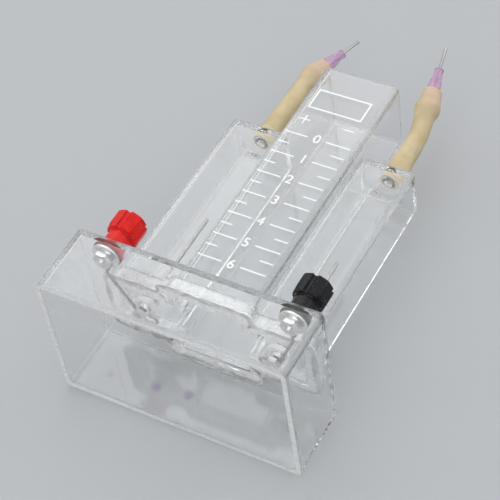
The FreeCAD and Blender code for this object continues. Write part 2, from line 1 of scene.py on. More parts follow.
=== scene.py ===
"""The look of a clear plastic bench voltameter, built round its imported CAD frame.

The frame holds the object upright, as it is used. The camera sees it as in the photograph, lying on its
back, so the studio's floor is an upright plane behind it. Sizes in the classes are in millimetres, and MM
turns them into Blender's metres. The depths of bumps and the sizes of lamps are in metres.
"""

import logging
import math
from collections.abc import Sequence
from dataclasses import dataclass, field
from enum import Enum
from typing import Any

import bmesh
import bpy
from mathutils import Matrix, Vector, noise


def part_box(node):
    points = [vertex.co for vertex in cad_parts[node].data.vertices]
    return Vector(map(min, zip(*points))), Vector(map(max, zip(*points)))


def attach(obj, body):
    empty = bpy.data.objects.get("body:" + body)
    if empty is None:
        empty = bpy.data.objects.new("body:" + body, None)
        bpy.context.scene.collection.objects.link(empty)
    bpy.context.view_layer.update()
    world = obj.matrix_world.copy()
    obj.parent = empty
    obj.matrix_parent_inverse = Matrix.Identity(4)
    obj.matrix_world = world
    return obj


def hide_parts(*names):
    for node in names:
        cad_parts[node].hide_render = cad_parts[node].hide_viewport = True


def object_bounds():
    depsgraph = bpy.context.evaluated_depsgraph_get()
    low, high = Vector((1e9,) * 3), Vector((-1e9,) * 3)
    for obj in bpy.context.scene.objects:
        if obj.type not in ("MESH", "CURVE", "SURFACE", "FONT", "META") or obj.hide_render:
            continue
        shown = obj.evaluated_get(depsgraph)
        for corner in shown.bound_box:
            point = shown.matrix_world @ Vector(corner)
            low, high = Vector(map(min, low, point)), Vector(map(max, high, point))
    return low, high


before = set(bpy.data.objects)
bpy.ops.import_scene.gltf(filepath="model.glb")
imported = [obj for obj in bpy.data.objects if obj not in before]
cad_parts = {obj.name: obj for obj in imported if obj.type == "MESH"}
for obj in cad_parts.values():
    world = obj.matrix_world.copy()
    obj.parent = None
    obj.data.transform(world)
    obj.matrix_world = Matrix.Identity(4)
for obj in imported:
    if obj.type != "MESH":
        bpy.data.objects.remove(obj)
CAD_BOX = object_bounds()

MM = 0.001
Colour = tuple[float, float, float, float]
Path = list[tuple[Vector, Vector]]

log = logging.getLogger("voltameter")


class Side(Enum):
    """The two halves of the apparatus, left and right as seen from the front."""

    LEFT = -1
    RIGHT = 1

    @property
    def hand(self) -> str:
        """The side's name as the frame's nodes give it."""
        return self.name.lower()

    @property
    def post(self) -> str:
        """The colour of the binding post on this side."""
        return "red" if self is Side.LEFT else "black"


class NodeBench:
    """Places shader nodes in one tree and joins them up."""

    def __init__(self, tree: bpy.types.NodeTree) -> None:
        """Start on a node tree.

        Args:
            tree: The material's or group's tree that nodes are placed in.
        """
        self.tree = tree

    def place(self, kind: str, inputs: dict[str | int, Any] | None = None, **settings: Any) -> bpy.types.Node:
        """Add one node.

        Args:
            kind: The node's type, as Blender names it.
            inputs: Values for its sockets by name or number; a socket given here is linked.
            settings: Properties of the node itself.

        Returns:
            The new node.
        """
        node = self.tree.nodes.new(kind)
        for name, value in settings.items():
            setattr(node, name, value)
        for key, value in (inputs or {}).items():
            if isinstance(value, bpy.types.NodeSocket):
                self.tree.links.new(value, node.inputs[key])
            else:
                node.inputs[key].default_value = value
        return node

    def maths(self, operation: str, *values: Any) -> bpy.types.NodeSocket:
        """Combine values or sockets with one arithmetic operation.

        Args:
            operation: The Math node's operation.
            values: One to three numbers or sockets.

        Returns:
            The result's socket.
        """
        return self.place("ShaderNodeMath", dict(enumerate(values)), operation=operation).outputs[0]

    def vector_maths(self, operation: str, first: Any, second: Any) -> bpy.types.NodeOutputs:
        """Combine two vectors.

        Args:
            operation: The Vector Math node's operation.
            first: A vector or its socket.
            second: Another one.

        Returns:
            The node's outputs: the result is Vector, or Value for a length.
        """
        return self.place("ShaderNodeVectorMath", {0: first, 1: second}, operation=operation).outputs

    def noise(
            self, vector: Any, scale: Any, detail: float = 2.0,
            roughness: float = 0.5) -> bpy.types.NodeSocket:
        """Smooth noise between 0 and 1.

        Args:
            vector: Where the noise is read.
            scale: How many lumps there are per metre.
            detail: Octaves of finer noise.
            roughness: How strong the finer octaves are.

        Returns:
            The noise's value.
        """
        inputs = {"Vector": vector, "Scale": scale, "Detail": detail, "Roughness": roughness}
        return self.place("ShaderNodeTexNoise", inputs).outputs["Fac"]

    def ramp(self, value: Any, low: Any, high: Any, start: Any = 0.0, end: Any = 1.0) -> bpy.types.NodeSocket:
        """Ease a value from start to end as it goes from low to high.

        Args:
            value: The number to map.
            low: Where the change begins.
            high: Where the change ends.
            start: The result at low and below it.
            end: The result at high and above it.

        Returns:
            The eased value.
        """
        inputs = {"Value": value, "From Min": low, "From Max": high, "To Min": start, "To Max": end}
        node = self.place("ShaderNodeMapRange", inputs, interpolation_type="SMOOTHSTEP")
        return node.outputs["Result"]

    def blend_colours(self, share: Any, first: Any, second: Any) -> bpy.types.NodeSocket:
        """Mix two colours.

        Args:
            share: How much of the second colour there is.
            first: The colour at 0.
            second: The colour at 1.

        Returns:
            The mixed colour.
        """
        inputs = {0: share, 6: first, 7: second}
        return self.place("ShaderNodeMix", inputs, data_type="RGBA").outputs[2]

    def bump(self, height: Any, distance: float, strength: float = 1.0) -> bpy.types.NodeSocket:
        """Turn a height into a normal.

        Args:
            height: The height, from 0 to 1.
            distance: How far in metres a height of 1 stands up.
            strength: How much of the bump is used.

        Returns:
            The bent normal.
        """
        inputs = {"Height": height, "Distance": distance, "Strength": strength}
        return self.place("ShaderNodeBump", inputs).outputs["Normal"]


class EffectGroup(NodeBench):
    """A shader node group with named inputs and outputs, built once and used by several finishes."""

    def __init__(self, name: str, takes: dict[str, float | Sequence[float]], gives: dict[str, str]) -> None:
        """Make an empty group.

        Args:
            name: The group's name.
            takes: The inputs' default values by name: a number, a vector of three or a colour of four.
            gives: The outputs' kinds by name: Float, Vector or Color.
        """
        super().__init__(bpy.data.node_groups.new(name, "ShaderNodeTree"))
        for label, value in takes.items():
            kind = "Float" if isinstance(value, float) else {3: "Vector", 4: "Color"}[len(value)]
            socket = self.tree.interface.new_socket(
                name=label, in_out="INPUT", socket_type="NodeSocket" + kind)
            socket.default_value = value
        for label, kind in gives.items():
            self.tree.interface.new_socket(name=label, in_out="OUTPUT", socket_type="NodeSocket" + kind)
        self.takes = self.place("NodeGroupInput").outputs
        self.exit = self.place("NodeGroupOutput")

    def give(self, label: str, socket: bpy.types.NodeSocket) -> None:
        """Send a result out of the group."""
        self.tree.links.new(socket, self.exit.inputs[label])

    def used_in(self, bench: NodeBench, inputs: dict[str, Any]) -> bpy.types.NodeOutputs:
        """Place the group in a material.

        Args:
            bench: The material's bench.
            inputs: Values or sockets for the group's inputs.

        Returns:
            The placed group's outputs.
        """
        return bench.place("ShaderNodeGroup", inputs, node_tree=self.tree).outputs


class Effects:
    """The surface effects that the finishes share."""

    def __init__(self) -> None:
        """Build every group once."""
        self.hairlines = self._hairlines()
        self.mottle = self._mottle()
        self.stain = self._stain()
        self.grain = self._grain()
        self.dust = self._dust()
        self.rubbed_edges = self._rubbed_edges()

    def _hairlines(self) -> EffectGroup:
        """Fine broken scratches from handling.

        Returns:
            A group that gives a mask of the scratches.
        """
        group = EffectGroup(
            "hairline_scratches", {"Vector": (0.0, 0.0, 0.0), "Scale": 60.0, "Width": 0.012, "Amount": 1.0},
            {"Mask": "Float"})
        field_value = group.noise(group.takes["Vector"], group.takes["Scale"], 1.0)
        off_line = group.maths("ABSOLUTE", group.maths("SUBTRACT", field_value, 0.5))
        lines = group.ramp(off_line, 0.0, group.takes["Width"], 1.0, 0.0)
        gaps = group.noise(group.takes["Vector"], group.maths("MULTIPLY", group.takes["Scale"], 1.7))
        broken = group.maths("MULTIPLY", lines, group.ramp(gaps, 0.5, 0.6))
        group.give("Mask", group.maths("MULTIPLY", broken, group.takes["Amount"]))
        return group

    def _mottle(self) -> EffectGroup:
        """Soft clouds of two tones.

        Returns:
            A group that gives the mixed colour and the clouds' mask.
        """
        group = EffectGroup(
            "mottled_tone",
            {"Vector": (0.0, 0.0, 0.0), "Scale": 40.0, "Contrast": 0.4, "First": (1.0, 1.0, 1.0, 1.0),
             "Second": (0.0, 0.0, 0.0, 1.0)},
            {"Color": "Color", "Mask": "Float"})
        clouds = group.noise(group.takes["Vector"], group.takes["Scale"], 3.0, 0.55)
        reach = group.maths("MULTIPLY_ADD", group.takes["Contrast"], 0.5, 0.1)
        mask = group.ramp(clouds, reach, group.maths("SUBTRACT", 1.0, reach))
        group.give("Color", group.blend_colours(mask, group.takes["First"], group.takes["Second"]))
        group.give("Mask", mask)
        return group

    def _stain(self) -> EffectGroup:
        """One ragged stain at a place on the object.

        Returns:
            A group that gives the stain's mask.
        """
        group = EffectGroup(
            "dried_stain", {"Vector": (0.0, 0.0, 0.0), "Place": (0.0, 0.0, 0.0), "Radius": 0.01},
            {"Mask": "Float"})
        away = group.vector_maths("DISTANCE", group.takes["Vector"], group.takes["Place"])["Value"]
        ragged = group.noise(group.takes["Vector"], 220.0, 3.0, 0.6)
        share = group.maths("ADD", group.maths("DIVIDE", away, group.takes["Radius"]), ragged)
        group.give("Mask", group.ramp(share, 0.75, 1.5, 1.0, 0.0))
        return group

    def _grain(self) -> EffectGroup:
        """The fine texture of a moulded or plated surface.

        Returns:
            A group that gives a height and a mask.
        """
        group = EffectGroup(
            "fine_grain", {"Vector": (0.0, 0.0, 0.0), "Scale": 2500.0, "Stretch": (1.0, 1.0, 1.0)},
            {"Height": "Float", "Mask": "Float"})
        stretched = group.vector_maths("MULTIPLY", group.takes["Vector"], group.takes["Stretch"])["Vector"]
        fine = group.noise(stretched, group.takes["Scale"], 2.0)
        group.give("Height", fine)
        group.give("Mask", group.ramp(fine, 0.35, 0.65))
        return group

    def _dust(self) -> EffectGroup:
        """Scattered specks of dust.

        Returns:
            A group that gives the specks' mask.
        """
        group = EffectGroup(
            "dust_specks", {"Vector": (0.0, 0.0, 0.0), "Scale": 400.0, "Size": 0.16, "Amount": 1.0},
            {"Mask": "Float"})
        cells = group.place(
            "ShaderNodeTexVoronoi", {"Vector": group.takes["Vector"], "Scale": group.takes["Scale"]})
        specks = group.ramp(cells.outputs["Distance"], 0.0, group.takes["Size"], 1.0, 0.0)
        where = group.ramp(group.noise(group.takes["Vector"], 60.0), 0.48, 0.62)
        kept = group.maths("MULTIPLY", specks, where)
        group.give("Mask", group.maths("MULTIPLY", kept, group.takes["Amount"]))
        return group

    def _rubbed_edges(self) -> EffectGroup:
        """The edges of a box-shaped piece, dulled by handling and by the mould's parting line.

        Returns:
            A group that gives a mask of the edges.
        """
        group = EffectGroup(
            "rubbed_edges",
            {"Vector": (0.0, 0.0, 0.0), "Low": (0.0, 0.0, 0.0), "High": (0.1, 0.1, 0.1), "Reach": 0.002},
            {"Mask": "Float"})
        from_low = group.vector_maths("SUBTRACT", group.takes["Vector"], group.takes["Low"])["Vector"]
        to_high = group.vector_maths("SUBTRACT", group.takes["High"], group.takes["Vector"])["Vector"]
        depth = group.vector_maths("MINIMUM", from_low, to_high)["Vector"]
        inside = group.place("ShaderNodeSeparateXYZ", {0: depth}).outputs
        nearest = group.maths("MINIMUM", inside["X"], inside["Y"])
        farther = group.maths("MAXIMUM", inside["X"], inside["Y"])
        second_nearest = group.maths("MAXIMUM", nearest, group.maths("MINIMUM", farther, inside["Z"]))
        edge = group.ramp(second_nearest, 0.0, group.takes["Reach"], 1.0, 0.0)
        uneven = group.ramp(group.noise(group.takes["Vector"], 260.0, 3.0), 0.35, 0.6, 0.8, 1.0)
        group.give("Mask", group.maths("MULTIPLY", edge, uneven))
        return group


def new_material(name: str) -> tuple[bpy.types.Material, NodeBench, bpy.types.NodeSocket]:
    """An empty node material.

    Args:
        name: The material's name.

    Returns:
        The material, a bench on its tree, and the coordinates of the object in metres.
    """
    material = bpy.data.materials.new(name)
    material.use_nodes = True
    material.node_tree.nodes.clear()
    bench = NodeBench(material.node_tree)
    return material, bench, bench.place("ShaderNodeTexCoord").outputs["Object"]


def glaze(bench: NodeBench, shader: bpy.types.NodeSocket, shade: Colour) -> None:
    """Let lamps shine through a clear shader, a little dimmed, and end the material.

    Args:
        bench: The material's bench.
        shader: The clear Principled shader.
        shade: What is left of a lamp's light behind the surface.
    """
    passing = bench.place("ShaderNodeBsdfTransparent", {"Color": shade}).outputs[0]
    is_shadow = bench.place("ShaderNodeLightPath").outputs["Is Shadow Ray"]
    mixed = bench.place("ShaderNodeMixShader", {0: is_shadow, 1: shader, 2: passing}).outputs[0]
    bench.place("ShaderNodeOutputMaterial", {"Surface": mixed})


@dataclass(frozen=True)
class Stain:
    """A dried drop of coloured liquid: where it is and how large, in millimetres."""

    place: tuple[float, float, float]
    radius: float


@dataclass(frozen=True)
class ClearPlastic:
    """Injection-moulded clear plastic with fine scratches, waviness, rubbed edges and dried stains."""

    name: str
    tint: Colour = (0.985, 0.99, 0.992, 1.0)
    shade: Colour = (0.972, 0.975, 0.98, 1.0)
    haze: float = 0.0
    clouding: float = 0.02
    scratches: float = 0.5
    fine_lines: tuple[float, float] = (90.0, 0.006)
    broad_lines: tuple[float, float] = (22.0, 0.002)
    mark_dulling: float = 0.35
    mark_depth: float = 0.000005
    waviness: float = 0.00006
    stain_colour: Colour = (0.80, 0.70, 0.88, 1.0)
    stains: tuple[Stain, ...] = ()
    corners: tuple[Vector, Vector] | None = None
    edge_reach: float = 3.2
    edge_dulling: float = 0.55

    def make(self, effects: Effects) -> bpy.types.Material:
        """Build the material.

        Args:
            effects: The shared effect groups.

        Returns:
            The finished material.
        """
        material, bench, place = new_material(self.name)
        colour: Any = self.tint
        for stain in self.stains:
            centre = tuple(value * MM for value in stain.place)
            inputs = {"Vector": place, "Place": centre, "Radius": stain.radius * MM}
            mask = effects.stain.used_in(bench, inputs)["Mask"]
            colour = bench.blend_colours(mask, colour, self.stain_colour)
        marks = effects.dust.used_in(bench, {"Vector": place, "Scale": 300.0, "Amount": 0.5})["Mask"]
        for scale, width in (self.fine_lines, self.broad_lines):
            inputs = {"Vector": place, "Scale": scale, "Width": width, "Amount": self.scratches}
            marks = bench.maths("MAXIMUM", marks, effects.hairlines.used_in(bench, inputs)["Mask"])
        clouds = effects.mottle.used_in(bench, {"Vector": place, "Scale": 30.0})["Mask"]
        film = bench.maths("MULTIPLY_ADD", clouds, self.clouding, self.haze)
        dulled = bench.maths("MULTIPLY", marks, self.mark_dulling)
        if self.corners:
            low, high = self.corners
            edges = effects.rubbed_edges.used_in(
                bench, {"Vector": place, "Low": low, "High": high, "Reach": self.edge_reach * MM})["Mask"]
            dulled = bench.maths("MAXIMUM", dulled, bench.maths("MULTIPLY", edges, self.edge_dulling))
        roughness = bench.maths("ADD", film, dulled)
        swell = bench.noise(place, 45.0, 1.0)
        wavy = bench.bump(swell, self.waviness)
        scratched = bench.place(
            "ShaderNodeBump",
            {"Height": marks, "Distance": self.mark_depth, "Normal": wavy}).outputs["Normal"]
        shader = bench.place("ShaderNodeBsdfPrincipled", {
            "Base Color": colour, "Roughness": roughness, "IOR": 1.49, "Transmission Weight": 1.0,
            "Normal": scratched,
        }).outputs[0]
        glaze(bench, shader, self.shade)
        return material


@dataclass(frozen=True)
class MouldedPlastic:
    """Opaque plastic or thick ink with a fine moulded grain and rubbed patches."""

    name: str
    colour: Colour
    worn: Colour
    mark_colour: Colour = (0.7, 0.68, 0.66, 1.0)
    roughness: float = 0.32
    glow: float = 0.0

    def make(self, effects: Effects) -> bpy.types.Material:
        """Build the material.

        Args:
            effects: The shared effect groups.

        Returns:
            The finished material.
        """
        material, bench, place = new_material(self.name)
        tone = effects.mottle.used_in(bench, {
            "Vector": place, "Scale": 260.0, "Contrast": 0.3, "First": self.colour, "Second": self.worn})
        scratches = effects.hairlines.used_in(
            bench, {"Vector": place, "Scale": 300.0, "Width": 0.01, "Amount": 0.5})["Mask"]
        specks = effects.dust.used_in(bench, {"Vector": place, "Scale": 900.0, "Amount": 0.35})["Mask"]
        marks = bench.maths("MAXIMUM", scratches, specks)
        colour = bench.blend_colours(bench.maths("MULTIPLY", marks, 0.25), tone["Color"], self.mark_colour)
        rubbed = bench.maths("MULTIPLY_ADD", tone["Mask"], -0.08, self.roughness)
        roughness = bench.maths("MULTIPLY_ADD", marks, 0.3, rubbed)
        grain = effects.grain.used_in(bench, {"Vector": place, "Scale": 2200.0})["Height"]
        shader = bench.place("ShaderNodeBsdfPrincipled", {
            "Base Color": colour, "Roughness": roughness, "IOR": 1.5, "Specular IOR Level": 0.25,
            "Subsurface Weight": self.glow, "Subsurface Scale": 0.0015,
            "Normal": bench.bump(grain, 0.00002, 0.6),
        }).outputs[0]
        bench.place("ShaderNodeOutputMaterial", {"Surface": shader})
        return material


@dataclass(frozen=True)
class Metal:
    """Bare or plated metal with a drawn or turned grain and dull spots."""

    name: str
    colour: Colour
    dulled: Colour
    roughness: float = 0.2
    stretch: tuple[float, float, float] = (1.0, 1.0, 0.08)

    def make(self, effects: Effects) -> bpy.types.Material:
        """Build the material.

        Args:
            effects: The shared effect groups.

        Returns:
            The finished material.
        """
        material, bench, place = new_material(self.name)
        tone = effects.mottle.used_in(bench, {
            "Vector": place, "Scale": 350.0, "Contrast": 0.35, "First": self.colour, "Second": self.dulled})
        grain = effects.grain.used_in(bench, {"Vector": place, "Scale": 5000.0, "Stretch": self.stretch})
        dull = bench.maths("MULTIPLY_ADD", tone["Mask"], 0.18, self.roughness)
        roughness = bench.maths("MULTIPLY_ADD", grain["Mask"], 0.08, dull)
        shader = bench.place("ShaderNodeBsdfPrincipled", {
            "Base Color": tone["Color"], "Metallic": 1.0, "Roughness": roughness,
            "Normal": bench.bump(grain["Height"], 0.00001, 0.5),
        }).outputs[0]
        bench.place("ShaderNodeOutputMaterial", {"Surface": shader})
        return material


@dataclass(frozen=True)
class Latex:
    """Aged natural latex, amber along its length and pinker where it is stretched over the needle's hub."""

    name: str
    amber: Colour = (0.62, 0.51, 0.31, 1.0)
    deep_amber: Colour = (0.52, 0.41, 0.22, 1.0)
    peach: Colour = (0.62, 0.45, 0.33, 1.0)
    bloom_colour: Colour = (0.9, 0.85, 0.74, 1.0)
    blush_from: float = 158.0
    blush_to: float = 176.0
    blush: float = 0.7

    def make(self, effects: Effects) -> bpy.types.Material:
        """Build the material.

        Args:
            effects: The shared effect groups.

        Returns:
            The finished material.
        """
        material, bench, place = new_material(self.name)
        tone = effects.mottle.used_in(bench, {
            "Vector": place, "Scale": 140.0, "Contrast": 0.35, "First": self.amber,
            "Second": self.deep_amber})
        height = bench.place("ShaderNodeSeparateXYZ", {0: place}).outputs["Z"]
        pinkness = bench.ramp(height, self.blush_from * MM, self.blush_to * MM, 0.0, self.blush)
        colour = bench.blend_colours(pinkness, tone["Color"], self.peach)
        bloom = effects.dust.used_in(
            bench, {"Vector": place, "Scale": 700.0, "Size": 0.3, "Amount": 0.3})["Mask"]
        dusty = bench.blend_colours(bloom, colour, self.bloom_colour)
        grain = effects.grain.used_in(bench, {"Vector": place, "Scale": 1400.0})
        skin = bench.maths("MULTIPLY_ADD", bench.noise(place, 320.0, 3.0), 2.5, grain["Height"])
        roughness = bench.maths("MULTIPLY_ADD", grain["Mask"], 0.12, 0.5)
        shader = bench.place("ShaderNodeBsdfPrincipled", {
            "Base Color": dusty, "Roughness": roughness, "IOR": 1.52, "Subsurface Weight": 0.2,
            "Subsurface Radius": (1.0, 0.6, 0.3), "Subsurface Scale": 0.0015,
            "Normal": bench.bump(skin, 0.00004, 0.8),
        }).outputs[0]
        bench.place("ShaderNodeOutputMaterial", {"Surface": shader})
        return material


@dataclass(frozen=True)
class TintedHub:
    """Translucent tinted plastic of a needle's hub."""

    name: str
    tint: Colour = (0.66, 0.44, 0.63, 1.0)
    pale: Colour = (0.72, 0.51, 0.69, 1.0)
    shade: Colour = (0.86, 0.66, 0.80, 1.0)

    def make(self, effects: Effects) -> bpy.types.Material:
        """Build the material.

        Args:
            effects: The shared effect groups.

        Returns:
            The finished material.
        """
        material, bench, place = new_material(self.name)
        tone = effects.mottle.used_in(bench, {
            "Vector": place, "Scale": 120.0, "Contrast": 0.2, "First": self.tint, "Second": self.pale})
        scratches = effects.hairlines.used_in(
            bench, {"Vector": place, "Scale": 400.0, "Width": 0.01, "Amount": 0.6})["Mask"]
        roughness = bench.maths("MULTIPLY_ADD", scratches, 0.3, 0.22)
        swell = bench.noise(place, 500.0, 1.0)
        shader = bench.place("ShaderNodeBsdfPrincipled", {
            "Base Color": tone["Color"], "Roughness": roughness, "IOR": 1.5, "Transmission Weight": 0.55,
            "Subsurface Weight": 0.4, "Subsurface Scale": 0.002, "Normal": bench.bump(swell, 0.00006, 0.6),
        }).outputs[0]
        glaze(bench, shader, self.shade)
        return material


@dataclass(frozen=True)
class Film:
    """A thin or lumpy coat that lets some of what is behind it show, such as dried cement."""

    name: str
    thin: float
    thick: float
    lumps: float
    relief: float = 0.0003
    roughness: float = 0.5
    colour: Colour = (0.97, 0.97, 0.96, 1.0)
    shadow_tone: Colour = (0.88, 0.88, 0.88, 1.0)

    def make(self, effects: Effects) -> bpy.types.Material:
        """Build the material.

        Args:
            effects: The shared effect groups.

        Returns:
            The finished material.
        """
        material, bench, place = new_material(self.name)
        tone = effects.mottle.used_in(bench, {
            "Vector": place, "Scale": self.lumps, "Contrast": 0.3, "First": self.colour,
            "Second": self.shadow_tone})
        streaks = bench.noise(place, self.lumps * 0.6, 3.0, 0.6)
        cover = bench.ramp(streaks, 0.36, 0.6, self.thin, self.thick)
        grain = effects.grain.used_in(bench, {"Vector": place, "Scale": 1500.0})
        roughness = bench.maths("MULTIPLY_ADD", grain["Mask"], 0.15, self.roughness)
        shader = bench.place("ShaderNodeBsdfPrincipled", {
            "Base Color": tone["Color"], "Roughness": roughness, "Alpha": cover,
            "Normal": bench.bump(streaks, self.relief),
        }).outputs[0]
        bench.place("ShaderNodeOutputMaterial", {"Surface": shader})
        return material


class Finishes:
    """Every finish of the object, made once."""

    def __init__(self, effects: Effects) -> None:
        """Make the materials.

        Args:
            effects: The shared effect groups.
        """
        self.effects = effects
        self.stains = (
            Stain((-33.0, -24.0, 30.0), 4.0), Stain((-18.0, 29.0, 12.0), 3.6),
            Stain((-38.0, 29.0, 10.0), 2.4), Stain((-4.0, 29.0, 14.0), 3.0),
        )
        self.clear = ClearPlastic("moulded_clear_plastic").make(effects)
        self.gland = ClearPlastic(
            "cloudy_gland_plastic", tint=(0.93, 0.94, 0.94, 1.0), haze=0.25, waviness=0.0002).make(effects)
        self.red = MouldedPlastic(
            "red_knob_plastic", (0.74, 0.010, 0.008, 1.0), (0.62, 0.006, 0.006, 1.0), glow=0.05).make(effects)
        self.black = MouldedPlastic(
            "black_knob_plastic", (0.006, 0.006, 0.007, 1.0), (0.011, 0.011, 0.012, 1.0)).make(effects)
        self.nickel = Metal(
            "bright_nickel", (0.82, 0.82, 0.81, 1.0), (0.62, 0.62, 0.61, 1.0), 0.1).make(effects)
        self.brass = Metal(
            "turned_brass", (0.76, 0.56, 0.26, 1.0), (0.55, 0.38, 0.16, 1.0), 0.25).make(effects)
        self.tin = Metal(
            "tinned_wire", (0.50, 0.50, 0.49, 1.0), (0.32, 0.32, 0.31, 1.0), 0.28).make(effects)
        self.steel = Metal(
            "drawn_steel", (0.44, 0.44, 0.43, 1.0), (0.32, 0.32, 0.31, 1.0), 0.16).make(effects)
        self.latex = Latex("aged_latex").make(effects)
        self.hub = TintedHub("translucent_pink_plastic").make(effects)
        self.ink = MouldedPlastic(
            "white_screen_ink", (0.96, 0.96, 0.95, 1.0), (0.90, 0.90, 0.89, 1.0),
            roughness=0.5).make(effects)
        self.cement = Film("dried_cement", thin=0.5, thick=0.95, lumps=620.0).make(effects)
        self.cement_film = Film("thin_cement", thin=0.12, thick=0.6, lumps=420.0, relief=0.0002).make(effects)
        self.ground_edge = Film(
            "frosted_edge", thin=0.6, thick=0.74, lumps=700.0, relief=0.00005,
            shadow_tone=(0.92, 0.92, 0.92, 1.0)).make(effects)
        self.sealant = Film(
            "white_sealant", thin=0.97, thick=1.0, lumps=400.0, colour=(0.98, 0.98, 0.97, 1.0),
            shadow_tone=(0.94, 0.94, 0.93, 1.0)).make(effects)

    def boxy_clear(self, name: str, low: Vector, high: Vector) -> bpy.types.Material:
        """Clear plastic with rubbed edges, for one box-shaped piece.

        Args:
            name: The material's name.
            low: The piece's lowest corner in metres.
            high: Its highest corner.

        Returns:
            The material.
        """
        return ClearPlastic(name, stains=self.stains, corners=(low, high)).make(self.effects)


def dress(node: str, finish: bpy.types.Material) -> None:
    """Give a CAD node its finish.

    Args:
        node: The node's name.
        finish: The material for all of it.
    """
    node_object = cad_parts[node]
    if not node_object.material_slots:
        node_object.data.materials.append(finish)
    for slot in node_object.material_slots:
        slot.material = finish
    log.info("dressed %s in %s", node, finish.name)


def add_piece(
        name: str, mesh: bpy.types.Mesh, finish: bpy.types.Material, body: str,
        crease: float = 40.0) -> bpy.types.Object:
    """Show a new piece that rides on a CAD body.

    Args:
        name: The piece's name.
        mesh: Its mesh, in metres in the frame's own coordinates.
        finish: Its material.
        body: The CAD body it moves with.
        crease: Edges sharper than this many degrees stay sharp.

    Returns:
        The new object.
    """
    mesh.materials.clear()
    mesh.materials.append(finish)
    mesh.polygons.foreach_set("use_smooth", [True] * len(mesh.polygons))
    mesh.set_sharp_from_angle(angle=math.radians(crease))
    piece = bpy.data.objects.new(name, mesh)
    bpy.context.scene.collection.objects.link(piece)
    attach(piece, body)
    log.info("made %s with %d faces, riding on %s", name, len(mesh.polygons), body)
    return piece


def ringed_mesh(name: str, rings: Sequence[Sequence[Vector]], joined: bool = False) -> bpy.types.Mesh:
    """A closed skin through rings of points.

    Args:
        name: The mesh's name.
        rings: Rings with equally many points each.
        joined: Whether the last ring joins the first, as round a loop; otherwise the ends are capped.

    Returns:
        The mesh, with its faces turned outwards.
    """
    around = len(rings[0])
    vertices = [spot for ring in rings for spot in ring]
    faces: list[tuple[int, ...]] = []
    spans = len(rings) if joined else len(rings) - 1
    for row in range(spans):
        here, there = row * around, (row + 1) % len(rings) * around
        for step in range(around):
            following = (step + 1) % around
            faces.append((here + step, here + following, there + following, there + step))
    if not joined:
        faces.append(tuple(range(around)))
        faces.append(tuple(reversed(range((len(rings) - 1) * around, len(vertices)))))
    mesh = bpy.data.meshes.new(name)
    mesh.from_pydata(vertices, [], faces)
    shape = bmesh.new()
    shape.from_mesh(mesh)
    bmesh.ops.recalc_face_normals(shape, faces=shape.faces)
    shape.to_mesh(mesh)
    shape.free()
    return mesh


def slab_ring(near: Vector, far: Vector, low: float, high: float) -> list[Vector]:
    """The four corners of an upright slab's cut end.

    Args:
        near: A point on its inner side.
        far: The point opposite on its outer side.
        low: Height of its underside.
        high: Height of its top.

    Returns:
        The corners in order round the cut.
    """
    return [
        Vector((near.x, near.y, low)), Vector((far.x, far.y, low)), Vector((far.x, far.y, high)),
        Vector((near.x, near.y, high))]


@dataclass(frozen=True)
class Swell:
    """Smooth unevenness: how far it goes each way, how long one swell is in millimetres, and its pattern."""

    reach: float
    size: float
    pattern: float

    def at(self, place: Vector, shift: float = 0.0) -> float:
        """Read the unevenness at a place.

        Args:
            place: The place, in metres.
            shift: Moves on to another pattern.

        Returns:
            A value between about minus and plus the reach.
        """
        seed = self.pattern + shift
        return self.reach * 2 * noise.noise(place / (self.size * MM) + Vector((seed, seed * 0.37, -seed)))


def eased(outline: Sequence[tuple[float, float]], distance: float) -> float:
    """Read an outline of (distance, radius), eased from one value to the next.

    Args:
        outline: The values in order of distance.
        distance: Where to read them.

    Returns:
        The radius there.
    """
    for (low, first), (high, second) in zip(outline, outline[1:]):
        if distance <= high:
            share = max(distance - low, 0.0) / (high - low)
            return first + (second - first) * (1 - math.cos(math.pi * share)) / 2
    return outline[-1][1]


@dataclass
class VesselOutline:
    """The stepped outline round the feet of the three vessels, read from the frame."""

    corner: float = 2.0
    corner_steps: int = 4
    spacing: float = 1.2

    def corners(self, grow: float) -> list[Vector]:
        """The outline's corners, anticlockwise seen from above.

        Args:
            grow: How far outside the vessels the outline runs, in millimetres.

        Returns:
            The corners in metres, at height 0.
        """
        low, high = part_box("reservoir")
        left_low, left_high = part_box("gas_tube_left")
        right_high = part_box("gas_tube_right")[1]
        extra = grow * MM
        x_in, x_out = high.x + extra, right_high.x + extra
        front, back = low.y - extra, high.y + extra
        tube_front, tube_back = left_low.y - extra, left_high.y + extra
        right_half = [(x_in, front), (x_in, tube_front), (x_out, tube_front), (x_out, tube_back),
                      (x_in, tube_back), (x_in, back)]
        left_half = [(-x, y) for x, y in reversed(right_half)]
        return [Vector((x, y, 0.0)) for x, y in right_half + left_half]

    def walk(self, grow: float) -> Path:
        """Evenly spaced steps round the outline, with rounded corners.

        Args:
            grow: How far outside the vessels the outline runs, in millimetres.

        Returns:
            Each step's place and the direction that points away from the vessels there.
        """
        spots = self.corners(grow)
        radius, spacing = self.corner * MM, self.spacing * MM
        path: Path = []
        count = len(spots)
        for index, corner in enumerate(spots):
            into = (corner - spots[index - 1]).normalized()
            out = (spots[(index + 1) % count] - corner).normalized()
            first, second = Vector((into.y, -into.x, 0.0)), Vector((out.y, -out.x, 0.0))
            outward = 1.0 if into.cross(out).z > 0 else -1.0
            centre = corner - into * radius + out * radius
            for step in range(self.corner_steps):
                facing = first.slerp(second, step / (self.corner_steps - 1))
                path.append((centre + facing * radius * outward, facing))
            end = corner + out * radius
            run = (spots[(index + 1) % count] - out * radius) - end
            steps = max(int(run.length / spacing), 1)
            path.extend((end + run * (step / steps), second) for step in range(1, steps))
        return path


@dataclass
class Fitting:
    """Something on the object that is made or dressed in its finishes."""

    finishes: Finishes


